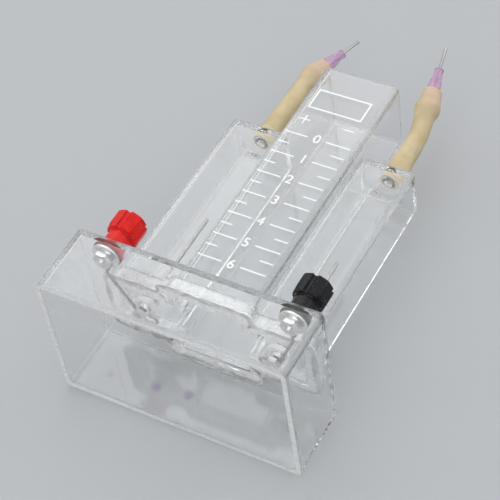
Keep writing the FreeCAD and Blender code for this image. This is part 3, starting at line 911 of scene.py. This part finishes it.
@dataclass
class CementedFeet(Fitting):
    """Milky cement that holds the vessels in their tray: a bed under it, a film and two uneven beads."""

    outline: VesselOutline = field(default_factory=VesselOutline)
    bed_inner: float = -1.6
    bed_outer: float = 3.3
    bed_inner_swell: Swell = Swell(0.9, 7.0, 1.3)
    bed_outer_swell: Swell = Swell(0.9, 5.0, 5.9)
    film_height: float = 4.9
    filled: tuple[float, float] = (0.2, 0.8)
    lip_bead: tuple[float, float, float] = (0.1, 0.55, 3.1)
    foot_bead: tuple[float, float, float] = (2.9, 1.15, 7.7)
    bead_widths: tuple[Swell, ...] = (Swell(0.45, 6.0, 0.0), Swell(0.25, 2.5, 2.0))
    bead_heights: Swell = Swell(0.35, 5.0, 4.0)
    bead_rise: float = 0.8
    bead_steps: int = 7

    def build(self) -> None:
        """Make the cement's four pieces."""
        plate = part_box("base_shell")[1].z
        tray_low, tray_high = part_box("socket_tray")
        vessel_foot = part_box("reservoir")[0].z
        gap = tray_low.z - plate
        bed = self._bed(plate, gap)
        film = self._film(vessel_foot + gap, vessel_foot + self.film_height * MM, gap)
        lip = self._bead(tray_high.z, *self.lip_bead)
        foot = self._bead(plate, *self.foot_bead)
        for name, rings, finish in (
                ("cement_bed", bed, self.finishes.cement), ("cement_film", film, self.finishes.cement_film),
                ("cement_lip_bead", lip, self.finishes.cement),
                ("cement_foot_bead", foot, self.finishes.cement)):
            add_piece(name, ringed_mesh(name, rings, joined=True), finish, "base")

    def _bed(self, plate: float, gap: float) -> list[list[Vector]]:
        """The flat bed of cement between the tray and the plate.

        Args:
            plate: Height of the plate's top in metres.
            gap: The height it fills, in metres.

        Returns:
            Rings of four points round the outline.
        """
        low, high = (plate + gap * share for share in self.filled)
        rings = []
        for spot, facing in self.outline.walk(0.0):
            inner = self.bed_inner + self.bed_inner_swell.at(spot)
            outer = self.bed_outer + self.bed_outer_swell.at(spot)
            rings.append(slab_ring(spot + facing * inner * MM, spot + facing * outer * MM, low, high))
        return rings

    def _film(self, low: float, high: float, gap: float) -> list[list[Vector]]:
        """The upright film of cement between the vessels and the tray's rim.

        Args:
            low: Height of its foot in metres.
            high: Height of its top in metres.
            gap: The width it fills, in metres.

        Returns:
            Rings of four points round the outline.
        """
        rings = []
        for spot, facing in self.outline.walk(0.0):
            near, far = (spot + facing * gap * share for share in self.filled)
            rings.append(slab_ring(near, far, low, high))
        return rings

    def _bead(self, height: float, grow: float, radius: float, pattern: float) -> list[list[Vector]]:
        """A lumpy bead of squeezed-out cement, half sunk in the corner it lies in.

        Args:
            height: The height it lies at, in metres.
            grow: How far outside the vessels it runs, in millimetres.
            radius: Its mean thickness, in millimetres.
            pattern: Picks its unevenness.

        Returns:
            Rings of points round the outline.
        """
        rings = []
        for spot, facing in self.outline.walk(grow):
            width = radius * (1 + sum(swell.at(spot, pattern) for swell in self.bead_widths))
            tall = radius * (self.bead_rise + self.bead_heights.at(spot, pattern))
            ring = []
            for step in range(self.bead_steps + 1):
                angle = step * math.pi / self.bead_steps
                out = facing * (math.cos(angle) * width * MM)
                up = Vector((0.0, 0.0, height + math.sin(angle) * tall * MM))
                ring.append(spot + out + up)
            rings.append(ring)
        return rings


@dataclass
class ClearVessels(Fitting):
    """The clear moulded body: the tray, and the four box-shaped pieces whose edges are rubbed."""

    boxes: tuple[str, ...] = ("base_shell", "reservoir", "gas_tube_left", "gas_tube_right")
    sleeve_gap: float = 1.6

    def dress(self) -> None:
        """Give the clear pieces their finish."""
        dress("socket_tray", self.finishes.clear)
        for node in self.boxes:
            low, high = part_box(node)
            if node.startswith("gas_tube"):
                sleeve_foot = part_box(node.replace("gas_tube", "sleeve"))[0].z
                high = Vector((high.x, high.y, sleeve_foot - self.sleeve_gap * MM))
            dress(node, self.finishes.boxy_clear("clear_" + node, low, high))


@dataclass
class FrostedRim(Fitting):
    """The matt face that the foot stands on, left by the mould."""

    wall: float = 2.1
    corner: float = 2.4
    inset: float = 0.12
    thick: float = 0.03
    steps: int = 8

    def build(self) -> None:
        """Make the frosted face as a film on the rim."""
        low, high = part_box("base_shell")
        middle = (low + high) / 2
        reach_x = (high.x - low.x) / 2 - self.corner * MM
        reach_y = (high.y - low.y) / 2 - self.corner * MM
        rings = []
        for quarter, (right, back) in enumerate(((1, 1), (-1, 1), (-1, -1), (1, -1))):
            for step in range(self.steps + 1):
                turn = (quarter + step / self.steps) * math.pi / 2
                facing = Vector((math.cos(turn), math.sin(turn), 0.0))
                centre = Vector((middle.x + right * reach_x, middle.y + back * reach_y, low.z))
                inner = centre + facing * (self.corner - self.wall + self.inset) * MM
                outer = centre + facing * (self.corner - self.inset) * MM
                rings.append(slab_ring(inner, outer, low.z - self.thick * MM, low.z))
        mesh = ringed_mesh("frosted_rim", rings, joined=True)
        add_piece("frosted_rim", mesh, self.finishes.ground_edge, "base")


@dataclass
class PrintedScale(Fitting):
    """White print on the reservoir's front: a scale of plain numbers, two signs and an empty frame."""

    top_level: float = 123.4
    level_step: float = 11.96
    levels: int = 7
    line: float = 0.6
    digit_size: float = 6.4
    digit_x: float = -0.7
    digit_weight: float = 0.06
    ink_thick: float = 0.03
    long_left: tuple[float, float] = (-15.4, -4.8)
    half_left: tuple[float, float] = (-15.3, -10.2)
    long_right: tuple[float, float] = (3.3, 14.4)
    half_right: tuple[float, float] = (8.7, 14.5)
    panel_x: tuple[float, float] = (-12.9, 11.5)
    panel_z: tuple[float, float] = (138.9, 150.2)
    panel_line: float = 0.75
    sign_size: float = 5.0
    plus_at: tuple[float, float] = (-10.6, 132.1)
    minus_at: tuple[float, float] = (9.2, 132.7)

    def build(self) -> None:
        """Print everything."""
        bars = []
        for level in range(self.levels):
            height = self.top_level - level * self.level_step
            bars += [self._bar(span, height) for span in (self.long_left, self.long_right)]
            if level < self.levels - 1:
                between = height - self.level_step / 2
                bars += [self._bar(span, between) for span in (self.half_left, self.half_right)]
        self._print("scale_ticks", bars)
        self._print("pole_signs", self._signs())
        self._print("panel_outline", self._panel_outline())
        for level in range(self.levels):
            self._digit(level)

    def _bar(self, span: tuple[float, float], height: float) -> tuple[float, float, float, float]:
        """A tick as low and high x and z, in millimetres."""
        return span[0], span[1], height - self.line / 2, height + self.line / 2

    def _signs(self) -> list[tuple[float, float, float, float]]:
        """A plus over the left ticks and a minus over the right ones, as bars that don't overlap.

        Returns:
            The signs' bars.
        """
        half, thin = self.sign_size / 2, self.line * 0.5
        plus_x, plus_z = self.plus_at
        minus_x, minus_z = self.minus_at
        return [
            (plus_x - half, plus_x + half, plus_z - thin, plus_z + thin),
            (plus_x - thin, plus_x + thin, plus_z + thin, plus_z + half),
            (plus_x - thin, plus_x + thin, plus_z - half, plus_z - thin),
            (minus_x - half, minus_x + half, minus_z - thin, minus_z + thin),
        ]

    def _panel_outline(self) -> list[tuple[float, float, float, float]]:
        """The four bars of the empty frame."""
        left, right = self.panel_x
        low, high = self.panel_z
        wide = self.panel_line
        return [
            (left, right, high - wide, high), (left, right, low, low + wide),
            (left, left + wide, low + wide, high - wide), (right - wide, right, low + wide, high - wide),
        ]

    def _print(self, name: str, bars: Sequence[tuple[float, float, float, float]]) -> None:
        """Lay flat bars of ink on the reservoir's front face.

        Args:
            name: The piece's name.
            bars: Low and high x and z of each, in millimetres.
        """
        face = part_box("reservoir")[0].y
        shape = bmesh.new()
        for left, right, low, high in bars:
            centre = Vector(((left + right) / 2 * MM, face - self.ink_thick * MM, (low + high) / 2 * MM))
            size = Matrix.Diagonal(((right - left) * MM, self.ink_thick * MM, (high - low) * MM, 1.0))
            bmesh.ops.create_cube(shape, size=1.0, matrix=Matrix.Translation(centre) @ size)
        mesh = bpy.data.meshes.new(name)
        shape.to_mesh(mesh)
        shape.free()
        add_piece(name, mesh, self.finishes.ink, "base")

    def _digit(self, level: int) -> None:
        """Print one number of the scale.

        Args:
            level: The number.
        """
        text = bpy.data.curves.new(f"digit_{level}", "FONT")
        text.body = str(level)
        text.size = self.digit_size * MM
        text.align_x, text.align_y = "CENTER", "CENTER"
        text.extrude = self.ink_thick * MM / 2
        text.offset = self.digit_weight * MM
        text.resolution_u = 6
        writer = bpy.data.objects.new(text.name, text)
        bpy.context.scene.collection.objects.link(writer)
        depsgraph = bpy.context.evaluated_depsgraph_get()
        mesh = bpy.data.meshes.new_from_object(writer.evaluated_get(depsgraph))
        bpy.data.objects.remove(writer)
        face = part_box("reservoir")[0].y - self.ink_thick * MM
        height = (self.top_level - level * self.level_step) * MM
        upright = Matrix.Rotation(math.radians(90), 4, "X")
        mesh.transform(Matrix.Translation((self.digit_x * MM, face, height)) @ upright)
        add_piece(f"scale_digit_{level}", mesh, self.finishes.ink, "base")


@dataclass
class FlutedKnob:
    """A screw cap's outside: an eight-sided head with a flute along every other corner, on a round skirt."""

    side: Side
    around: int = 288
    head_flats: float = 12.9
    flute_radius: float = 1.15
    flute_at: float = 6.7
    skirt: tuple[float, float] = (5.2, 4.9)
    skirt_height: float = 6.1
    skirt_bevel: float = 0.25
    fillet: float = 0.4
    under_edge: tuple[tuple[float, float], ...] = ((0.0, 0.9), (0.75, 0.45), (1.5, 0.0))
    top_edge: tuple[tuple[float, float], ...] = ((0.3, 0.0), (0.105, 0.15), (0.0, 0.42))
    mouth: float = 3.35
    mouth_chamfer: float = 0.7
    roof: float = 2.6
    bore: float = 4.23

    def build(self, finish: bpy.types.Material) -> None:
        """Make the knob and let it stand for the plain CAD cap.

        Args:
            finish: The knob's material.
        """
        node = "knob_cap_" + self.side.post
        low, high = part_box(node)
        axis = (low + high) / 2
        rings = []
        for height, reach in self._section(low.z / MM, high.z / MM):
            ring = []
            for index in range(self.around):
                turn = 2 * math.pi * index / self.around
                out = min(self._head(turn), reach) * MM
                ring.append(Vector((
                    axis.x + math.cos(turn) * out, axis.y + math.sin(turn) * out, height * MM)))
            rings.append(ring)
        name = "fluted_knob_" + self.side.post
        knob = add_piece(
            name, ringed_mesh(name, rings, joined=True), finish, self.side.post + "_cap",
            25.0)
        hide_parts(node)

    def _head(self, turn: float) -> float:
        """How far out the head reaches in one direction, in millimetres.

        Args:
            turn: The direction round the knob's axis, in radians.

        Returns:
            The distance to the flat, or to the flute where one is cut.
        """
        eighth = math.pi / 4
        off_flat = (turn % eighth) - eighth / 2
        flat = self.head_flats / 2 / math.cos(off_flat)
        off_flute = (turn + eighth) % (2 * eighth) - eighth
        aside = self.flute_at * math.sin(off_flute)
        if abs(aside) >= self.flute_radius:
            return flat
        flute = self.flute_at * math.cos(off_flute) - math.sqrt(self.flute_radius ** 2 - aside ** 2)
        return min(flat, flute)

    def _section(self, low: float, high: float) -> list[tuple[float, float]]:
        """Height and greatest radius of each ring: up the outside, over the mouth and down the bore.

        Args:
            low: Height of the skirt's foot in millimetres.
            high: Height of the head's top in millimetres.

        Returns:
            The rings in order.
        """
        step = low + self.skirt_height
        corner = self.head_flats / 2 / math.cos(math.pi / 8)
        shoulder = high - self.roof
        low_radius, high_radius = self.skirt
        return [
            (low, low_radius - self.skirt_bevel), (low + self.skirt_bevel, low_radius),
            (step - self.fillet, high_radius), (step, high_radius + self.fillet),
            *((step + up, corner - inwards) for up, inwards in self.under_edge),
            *((high - down, corner - inwards) for down, inwards in self.top_edge),
            (high, self.mouth + self.mouth_chamfer), (high - self.mouth_chamfer, self.mouth),
            (shoulder, self.mouth), (shoulder, self.bore), (low, self.bore),
        ]


@dataclass
class BindingPost(Fitting):
    """One binding post: cap, insert, bush, stud and soldering tag, with the solder that holds the lead."""

    side: Side
    solder_size: tuple[float, float, float] = (1.35, 1.7, 0.75)
    solder_from_end: float = 1.6
    solder_below: float = 0.3
    solder_unevenness: float = 0.18
    solder_pattern: float = 3.0

    def dress(self) -> None:
        """Give the post's CAD pieces their finishes, and let a fluted knob stand for its cap."""
        coloured = self.finishes.red if self.side is Side.LEFT else self.finishes.black
        post = self.side.post
        dress("post_bush_" + post, coloured)
        FlutedKnob(self.side).build(coloured)
        dress("cap_insert_" + post, self.finishes.brass)
        dress("post_stud_" + post, self.finishes.nickel)
        dress("lead_tag_" + self.side.hand, self.finishes.nickel)

    def build(self) -> None:
        """Add the blob of solder under the tag's eye."""
        low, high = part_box("lead_tag_" + self.side.hand)
        middle = Vector((
            (low.x + high.x) / 2, high.y - self.solder_from_end * MM, low.z - self.solder_below * MM))
        name = "solder_" + self.side.hand
        pattern = self.solder_pattern + self.side.value
        mesh = lump(name, middle, self.solder_size, self.solder_unevenness, pattern)
        add_piece(name, mesh, self.finishes.tin, "base")


def lump(
        name: str, middle: Vector, size: tuple[float, float, float], unevenness: float,
        pattern: float) -> bpy.types.Mesh:
    """A rounded uneven lump.

    Args:
        name: The mesh's name.
        middle: Its centre in metres.
        size: Half its width, depth and height, in millimetres.
        unevenness: How far its surface swells, as a share of its size.
        pattern: Picks its unevenness.

    Returns:
        The mesh.
    """
    around, high = 28, 14
    rings = []
    for row in range(high + 1):
        tilt = math.pi * (row + 0.25) / (high + 0.5)
        ring = []
        for step in range(around):
            turn = 2 * math.pi * step / around
            out = Vector((math.sin(tilt) * math.cos(turn), math.sin(tilt) * math.sin(turn), math.cos(tilt)))
            swell = 1 + unevenness * noise.noise(out * 1.7 + Vector((pattern, 0.0, pattern)))
            ring.append(middle + Vector([out[axis] * size[axis] * MM * swell for axis in range(3)]))
        rings.append(ring)
    return ringed_mesh(name, rings)


@dataclass
class Electrode(Fitting):
    """One electrode with its gland, wire and the white sealant pressed round its foot."""

    side: Side
    sealant_radius: float = 4.6
    sealant_height: float = 2.6
    sealant_foot: float = 2.6
    sealant_middle: float = 4.0
    sealant_side: tuple[tuple[float, float], ...] = ((0.0, 0.0), (0.25, 0.3), (-0.35, 0.75))
    sealant_top: tuple[tuple[float, float], ...] = ((3.7, 1.0), (2.95, 0.98))
    sealant_edge: Swell = Swell(0.5, 4.0, 9.0)
    sealant_crest: Swell = Swell(0.5, 3.0, 4.0)
    steps: int = 40

    def dress(self) -> None:
        """Give the electrode's CAD pieces their finishes."""
        dress("electrode_" + self.side.hand, self.finishes.steel)
        dress("lead_" + self.side.hand, self.finishes.tin)

    def build(self) -> None:
        """Press a ring of sealant round the gland on the tray's floor."""
        low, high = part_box("electrode_" + self.side.hand)
        centre = (low + high) / 2
        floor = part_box("reservoir")[0].z
        rings = []
        spot = Vector((centre.x, centre.y, floor))
        for step in range(self.steps):
            turn = 2 * math.pi * step / self.steps
            facing = Vector((math.cos(turn), math.sin(turn), 0.0))
            near_edge = spot + facing * self.sealant_middle * MM
            reach = self.sealant_radius + self.sealant_edge.at(near_edge)
            tall = self.sealant_height + self.sealant_crest.at(near_edge)
            outline = [
                (self.sealant_foot, 0.0),
                *((reach + past, tall * share) for past, share in self.sealant_side),
                *((radius, tall * share) for radius, share in self.sealant_top),
            ]
            rings.append([spot + facing * out * MM + Vector((0, 0, up * MM)) for out, up in outline])
        name = "sealant_" + self.side.hand
        mesh = ringed_mesh(name, rings, joined=True)
        add_piece(name, mesh, self.finishes.sealant, "base", 60.0)


@dataclass
class SleevedNeedle(Fitting):
    """A latex sleeve on a nozzle with the needle hub it grips, as the photograph shows each one."""

    side: Side
    length: float
    bend_start: float
    bend_length: float
    tilt: float
    heading: float
    around: int = 56
    step: float = 0.5
    drawn_back: float = 0.0
    lip: float = 0.7
    lumps: tuple[Swell, ...] = (Swell(0.7, 9.0, 11.0), Swell(0.3, 3.0, 14.0))
    rough: float = 0.22
    lip_rough: tuple[float, float] = (0.2, 0.1)
    over_nozzle: tuple[tuple[float, float], ...] = ((0.0, 5.0), (9.4, 4.8), (14.5, 4.3), (24.0, 4.15))
    over_hub: tuple[tuple[float, float], ...] = ((-5.0, 4.15), (0.6, 5.5), (4.6, 4.6), (10.0, 4.15))
    round_nozzle: tuple[tuple[float, float], ...] = ((0.0, 3.43), (10.4, 3.06), (13.0, 2.5))
    round_hub: tuple[tuple[float, float], ...] = (
        (-2.5, 2.5), (-0.2, 4.26), (1.4, 4.26), (3.0, 3.06), (10.0, 3.06))
    hub_depth: float = 10.0

    def dress(self) -> None:
        """Give the needle and its hub their finishes."""
        dress("needle_" + self.side.hand, self.finishes.steel)
        dress("needle_hub_" + self.side.hand, self.finishes.hub)

    def build(self) -> None:
        """Make the sleeve's uneven skin and let it stand for the smooth CAD sleeve."""
        body = self.side.hand + "_sleeve"
        name = "latex_sleeve_" + self.side.hand
        mesh = ringed_mesh(name, self._skin(), joined=True)
        sleeve = add_piece(name, mesh, self.finishes.latex, body, 70.0)
        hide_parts("sleeve_" + self.side.hand)

    def _place(self, distance: float) -> tuple[Vector, Vector]:
        """Where the sleeve's centre line is, as in the CAD.

        Args:
            distance: How far up from its foot, in millimetres.

        Returns:
            The place in metres, and the direction that the sleeve points there.
        """
        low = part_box("sleeve_" + self.side.hand)[0]
        stem_low, stem_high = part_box("electrode_" + self.side.hand)
        centre = (stem_low + stem_high) / 2
        foot = Vector((centre.x, centre.y, low.z))
        tilt = math.radians(self.tilt)
        heading = math.radians(self.heading)
        lean = Vector((math.cos(heading), math.sin(heading), 0.0))
        upright = Vector((0.0, 0.0, 1.0))
        radius = self.bend_length / tilt
        turned = tilt * min(max(distance - self.bend_start, 0.0) / self.bend_length, 1.0)
        beyond = max(distance - self.bend_start - self.bend_length, 0.0)
        along = upright * math.cos(turned) + lean * math.sin(turned)
        rise = min(distance, self.bend_start) + radius * math.sin(turned)
        across = radius * (1 - math.cos(turned))
        return foot + (upright * rise + lean * across + along * beyond) * MM, along

    def _ring(self, distance: float, radius: float, rough: float) -> list[Vector]:
        """One ring of points round the centre line.

        Args:
            distance: How far up from the sleeve's foot, in millimetres.
            radius: The ring's radius in millimetres.
            rough: How far it swells unevenly, in millimetres.

        Returns:
            The ring's points in metres.
        """
        place, along = self._place(min(max(distance, 0.0), self.length))
        across = (Vector((1.0, 0.0, 0.0)) - along * along.x).normalized()
        other = along.cross(across)
        ring = []
        for index in range(self.around):
            turn = 2 * math.pi * index / self.around
            facing = across * math.cos(turn) + other * math.sin(turn)
            spot = place + facing * radius * MM
            swell = sum(lumps.at(spot, 5 * self.side.value) for lumps in self.lumps)
            ring.append(spot + facing * rough * swell * MM)
        return ring

    def _skin(self) -> list[list[Vector]]:
        """Rings up the outside, over the top lip and down the bore.

        Returns:
            The rings in order, ready to be joined into a loop.
        """
        hub = self.length - self.hub_depth
        outside = self.over_nozzle + tuple((hub + distance, radius) for distance, radius in self.over_hub)
        inside = self.round_nozzle + tuple((hub + distance, radius) for distance, radius in self.round_hub)
        end = self.length - self.drawn_back
        count = round(end / self.step)
        lip = self.lip
        turning, rim = self.lip_rough
        rings = []
        for index in range(count + 1):
            distance = lip + (end - 2 * lip) * index / count
            rings.append(self._ring(distance, eased(outside, distance), self.rough))
        rings.append(self._ring(end - lip * 0.3, eased(outside, end) - lip * 0.3, turning))
        rings.append(self._ring(end, eased(outside, end) - lip, rim))
        for index in range(count // 2 + 1):
            distance = end - (end - lip * 0.4) * index / (count // 2)
            rings.append(self._ring(distance, eased(inside, distance), 0.0))
        rings.append(self._ring(0.0, eased(inside, 0.0) + lip * 0.3, 0.0))
        rings.append(self._ring(0.0, eased(outside, 0.0) - lip, rim))
        rings.append(self._ring(lip * 0.3, eased(outside, 0.0) - lip * 0.3, turning))
        return rings


@dataclass
class Fastenings(Fitting):
    """Washers, nuts and glands, each a pair of solids in one node."""

    def dress(self) -> None:
        """Give the paired fastenings their finishes."""
        for node in ("post_washers", "post_nuts", "electrode_nuts"):
            dress(node, self.finishes.nickel)
        dress("electrode_glands", self.finishes.gland)


@dataclass(frozen=True)
class Softbox:
    """One rectangular lamp: the way towards it, its distance and size in metres, its power in watts."""

    name: str
    towards: tuple[float, float, float]
    away: float
    size: tuple[float, float]
    power: float
    colour: tuple[float, float, float] = (1.0, 1.0, 1.0)

    def hang(self, aim: Vector) -> None:
        """Hang the lamp so that it faces the object.

        Args:
            aim: The point it faces, in metres.
        """
        light = bpy.data.lights.new(self.name, "AREA")
        light.shape = "RECTANGLE"
        light.size, light.size_y = self.size
        light.energy = self.power
        light.color = self.colour
        lamp = bpy.data.objects.new(self.name, light)
        bpy.context.scene.collection.objects.link(lamp)
        towards = Vector(self.towards).normalized()
        lamp.location = aim + towards * self.away
        lamp.rotation_mode = "QUATERNION"
        lamp.rotation_quaternion = towards.to_track_quat("Z", "Y")
        lamp.visible_camera = False
        log.info("hung %s, %.1f W", self.name, self.power)


@dataclass
class Studio:
    """A pale floor behind the object's back, soft lamps and the photograph's camera."""

    camera_at: tuple[float, float, float] = (259.15, -501.89, -290.13)
    camera_right: tuple[float, float, float] = (0.8716, 0.11446, 0.47666)
    camera_look: tuple[float, float, float] = (-0.39078, 0.7493, 0.53464)
    focal_pixels: float = 1711.12
    picture: float = 500.0
    sensor: float = 36.0
    floor_size: float = 6000.0
    floor_tone: Colour = (0.44, 0.45, 0.46, 1.0)
    low_sky: Colour = (0.10, 0.105, 0.11, 1.0)
    high_sky: Colour = (0.86, 0.88, 0.90, 1.0)
    clearance: float = 0.1
    bounces: int = 32
    lamps: tuple[Softbox, ...] = (
        Softbox("key_softbox", (-0.39, -0.75, 0.40), 1.3, (1.3, 0.9), 3.4, (1.0, 0.985, 0.96)),
        Softbox("side_softbox", (-0.9, -0.35, -0.25), 0.9, (0.35, 0.7), 1.0, (0.95, 0.97, 1.0)),
        Softbox("foot_softbox", (0.25, -0.6, -0.75), 0.9, (0.7, 0.5), 1.6),
        Softbox("top_softbox", (0.45, -0.45, 0.8), 0.9, (0.4, 0.4), 1.2),
    )

    def build(self) -> None:
        """Make the floors, the lamps and the camera, and set how light is followed through clear plastic."""
        gap = self.clearance * MM
        upright = Matrix.Rotation(math.radians(90), 4, "X")
        self._floor("floor_behind", Matrix.Translation((0, CAD_BOX[1].y + gap, 0)) @ upright, False)
        self._floor("floor_below", Matrix.Translation((0, 0, -gap)), True)
        self._sky()
        for softbox in self.lamps:
            softbox.hang((CAD_BOX[0] + CAD_BOX[1]) / 2)
        self._camera()
        scene = bpy.context.scene
        scene.view_settings.view_transform = "Standard"
        scene.cycles.use_denoising = True
        scene.cycles.max_bounces = self.bounces
        scene.cycles.glossy_bounces = self.bounces
        scene.cycles.transmission_bounces = self.bounces
        scene.cycles.transparent_max_bounces = self.bounces

    def _floor(self, name: str, lie: Matrix, only_seen: bool) -> None:
        """Lay one pale floor, clear when it is seen from behind.

        Args:
            name: The floor's name.
            lie: How a floor that faces upwards at height 0 is turned and moved.
            only_seen: Whether only the camera sees it, so that it takes no light from the object.
        """
        material, bench, place = new_material(name)
        specks = bench.noise(place, 900.0, 2.0)
        paint = bench.place("ShaderNodeBsdfPrincipled", {
            "Base Color": self.floor_tone, "Roughness": 0.6, "Normal": bench.bump(specks, 0.00002, 0.4),
        }).outputs[0]
        open_to = bench.place("ShaderNodeNewGeometry").outputs["Backfacing"]
        if only_seen:
            seen = bench.place("ShaderNodeLightPath").outputs["Is Camera Ray"]
            open_to = bench.maths("MAXIMUM", open_to, bench.maths("SUBTRACT", 1.0, seen))
        open_air = bench.place("ShaderNodeBsdfTransparent").outputs[0]
        mixed = bench.place("ShaderNodeMixShader", {0: open_to, 1: paint, 2: open_air}).outputs[0]
        bench.place("ShaderNodeOutputMaterial", {"Surface": mixed})
        half = self.floor_size / 2 * MM
        corners = [(-half, -half, 0), (half, -half, 0), (half, half, 0), (-half, half, 0)]
        mesh = bpy.data.meshes.new(name)
        mesh.from_pydata(corners, [], [(0, 1, 2, 3)])
        mesh.transform(lie)
        mesh.materials.append(material)
        floor = bpy.data.objects.new(name, mesh)
        bpy.context.scene.collection.objects.link(floor)

    def _sky(self) -> None:
        """Surround the scene with light, bright above and in front; the camera sees it plain and pale."""
        world = bpy.data.worlds.new("studio_sky")
        world.use_nodes = True
        world.node_tree.nodes.clear()
        bench = NodeBench(world.node_tree)
        towards = bench.place("ShaderNodeTexCoord").outputs["Generated"]
        spread = bench.place("ShaderNodeSeparateXYZ", {0: towards}).outputs
        above = bench.ramp(spread["Z"], 0.1, 0.6)
        before = bench.ramp(spread["Y"], -0.7, -0.15, 1.0, 0.0)
        glow = bench.blend_colours(bench.maths("MAXIMUM", above, before), self.low_sky, self.high_sky)
        seen = bench.place("ShaderNodeLightPath").outputs["Is Camera Ray"]
        shown = bench.blend_colours(seen, glow, self.floor_tone)
        light = bench.place("ShaderNodeBackground", {"Color": shown, "Strength": 1.0}).outputs[0]
        bench.place("ShaderNodeOutputWorld", {"Surface": light})
        bpy.context.scene.world = world

    def _camera(self) -> None:
        """Stand the camera where the photograph was taken from."""
        data = bpy.data.cameras.new("photo_camera")
        data.sensor_width = self.sensor
        data.lens = self.focal_pixels / self.picture * self.sensor
        data.clip_start = 0.01
        camera = bpy.data.objects.new("photo_camera", data)
        bpy.context.scene.collection.objects.link(camera)
        right = Vector(self.camera_right).normalized()
        back = -Vector(self.camera_look).normalized()
        up = back.cross(right)
        turned = Matrix((right, up, back)).transposed().to_4x4()
        camera.matrix_world = Matrix.Translation(Vector(self.camera_at) * MM) @ turned
        bpy.context.scene.camera = camera


def main() -> None:
    """Build and dress the object, then the studio round it."""
    logging.basicConfig(level=logging.INFO, format="%(message)s")
    finishes = Finishes(Effects())
    ClearVessels(finishes).dress()
    FrostedRim(finishes).build()
    CementedFeet(finishes).build()
    PrintedScale(finishes).build()
    Fastenings(finishes).dress()
    left_needle = SleevedNeedle(
        finishes, Side.LEFT, length=54.2, bend_start=37.2, bend_length=6.0, tilt=14.5, heading=56.2,
        drawn_back=2.2, over_hub=((-6.0, 4.15), (-0.4, 5.5), (3.6, 4.7), (7.8, 4.1)))
    right_needle = SleevedNeedle(
        finishes, Side.RIGHT, length=50.0, bend_start=18.0, bend_length=16.0, tilt=14.0, heading=224.7)
    fittings = [kind(finishes, side) for side in Side for kind in (BindingPost, Electrode)]
    for fitting in (*fittings, left_needle, right_needle):
        fitting.dress()
        fitting.build()
    Studio().build()


if __name__ == "__main__":
    main()
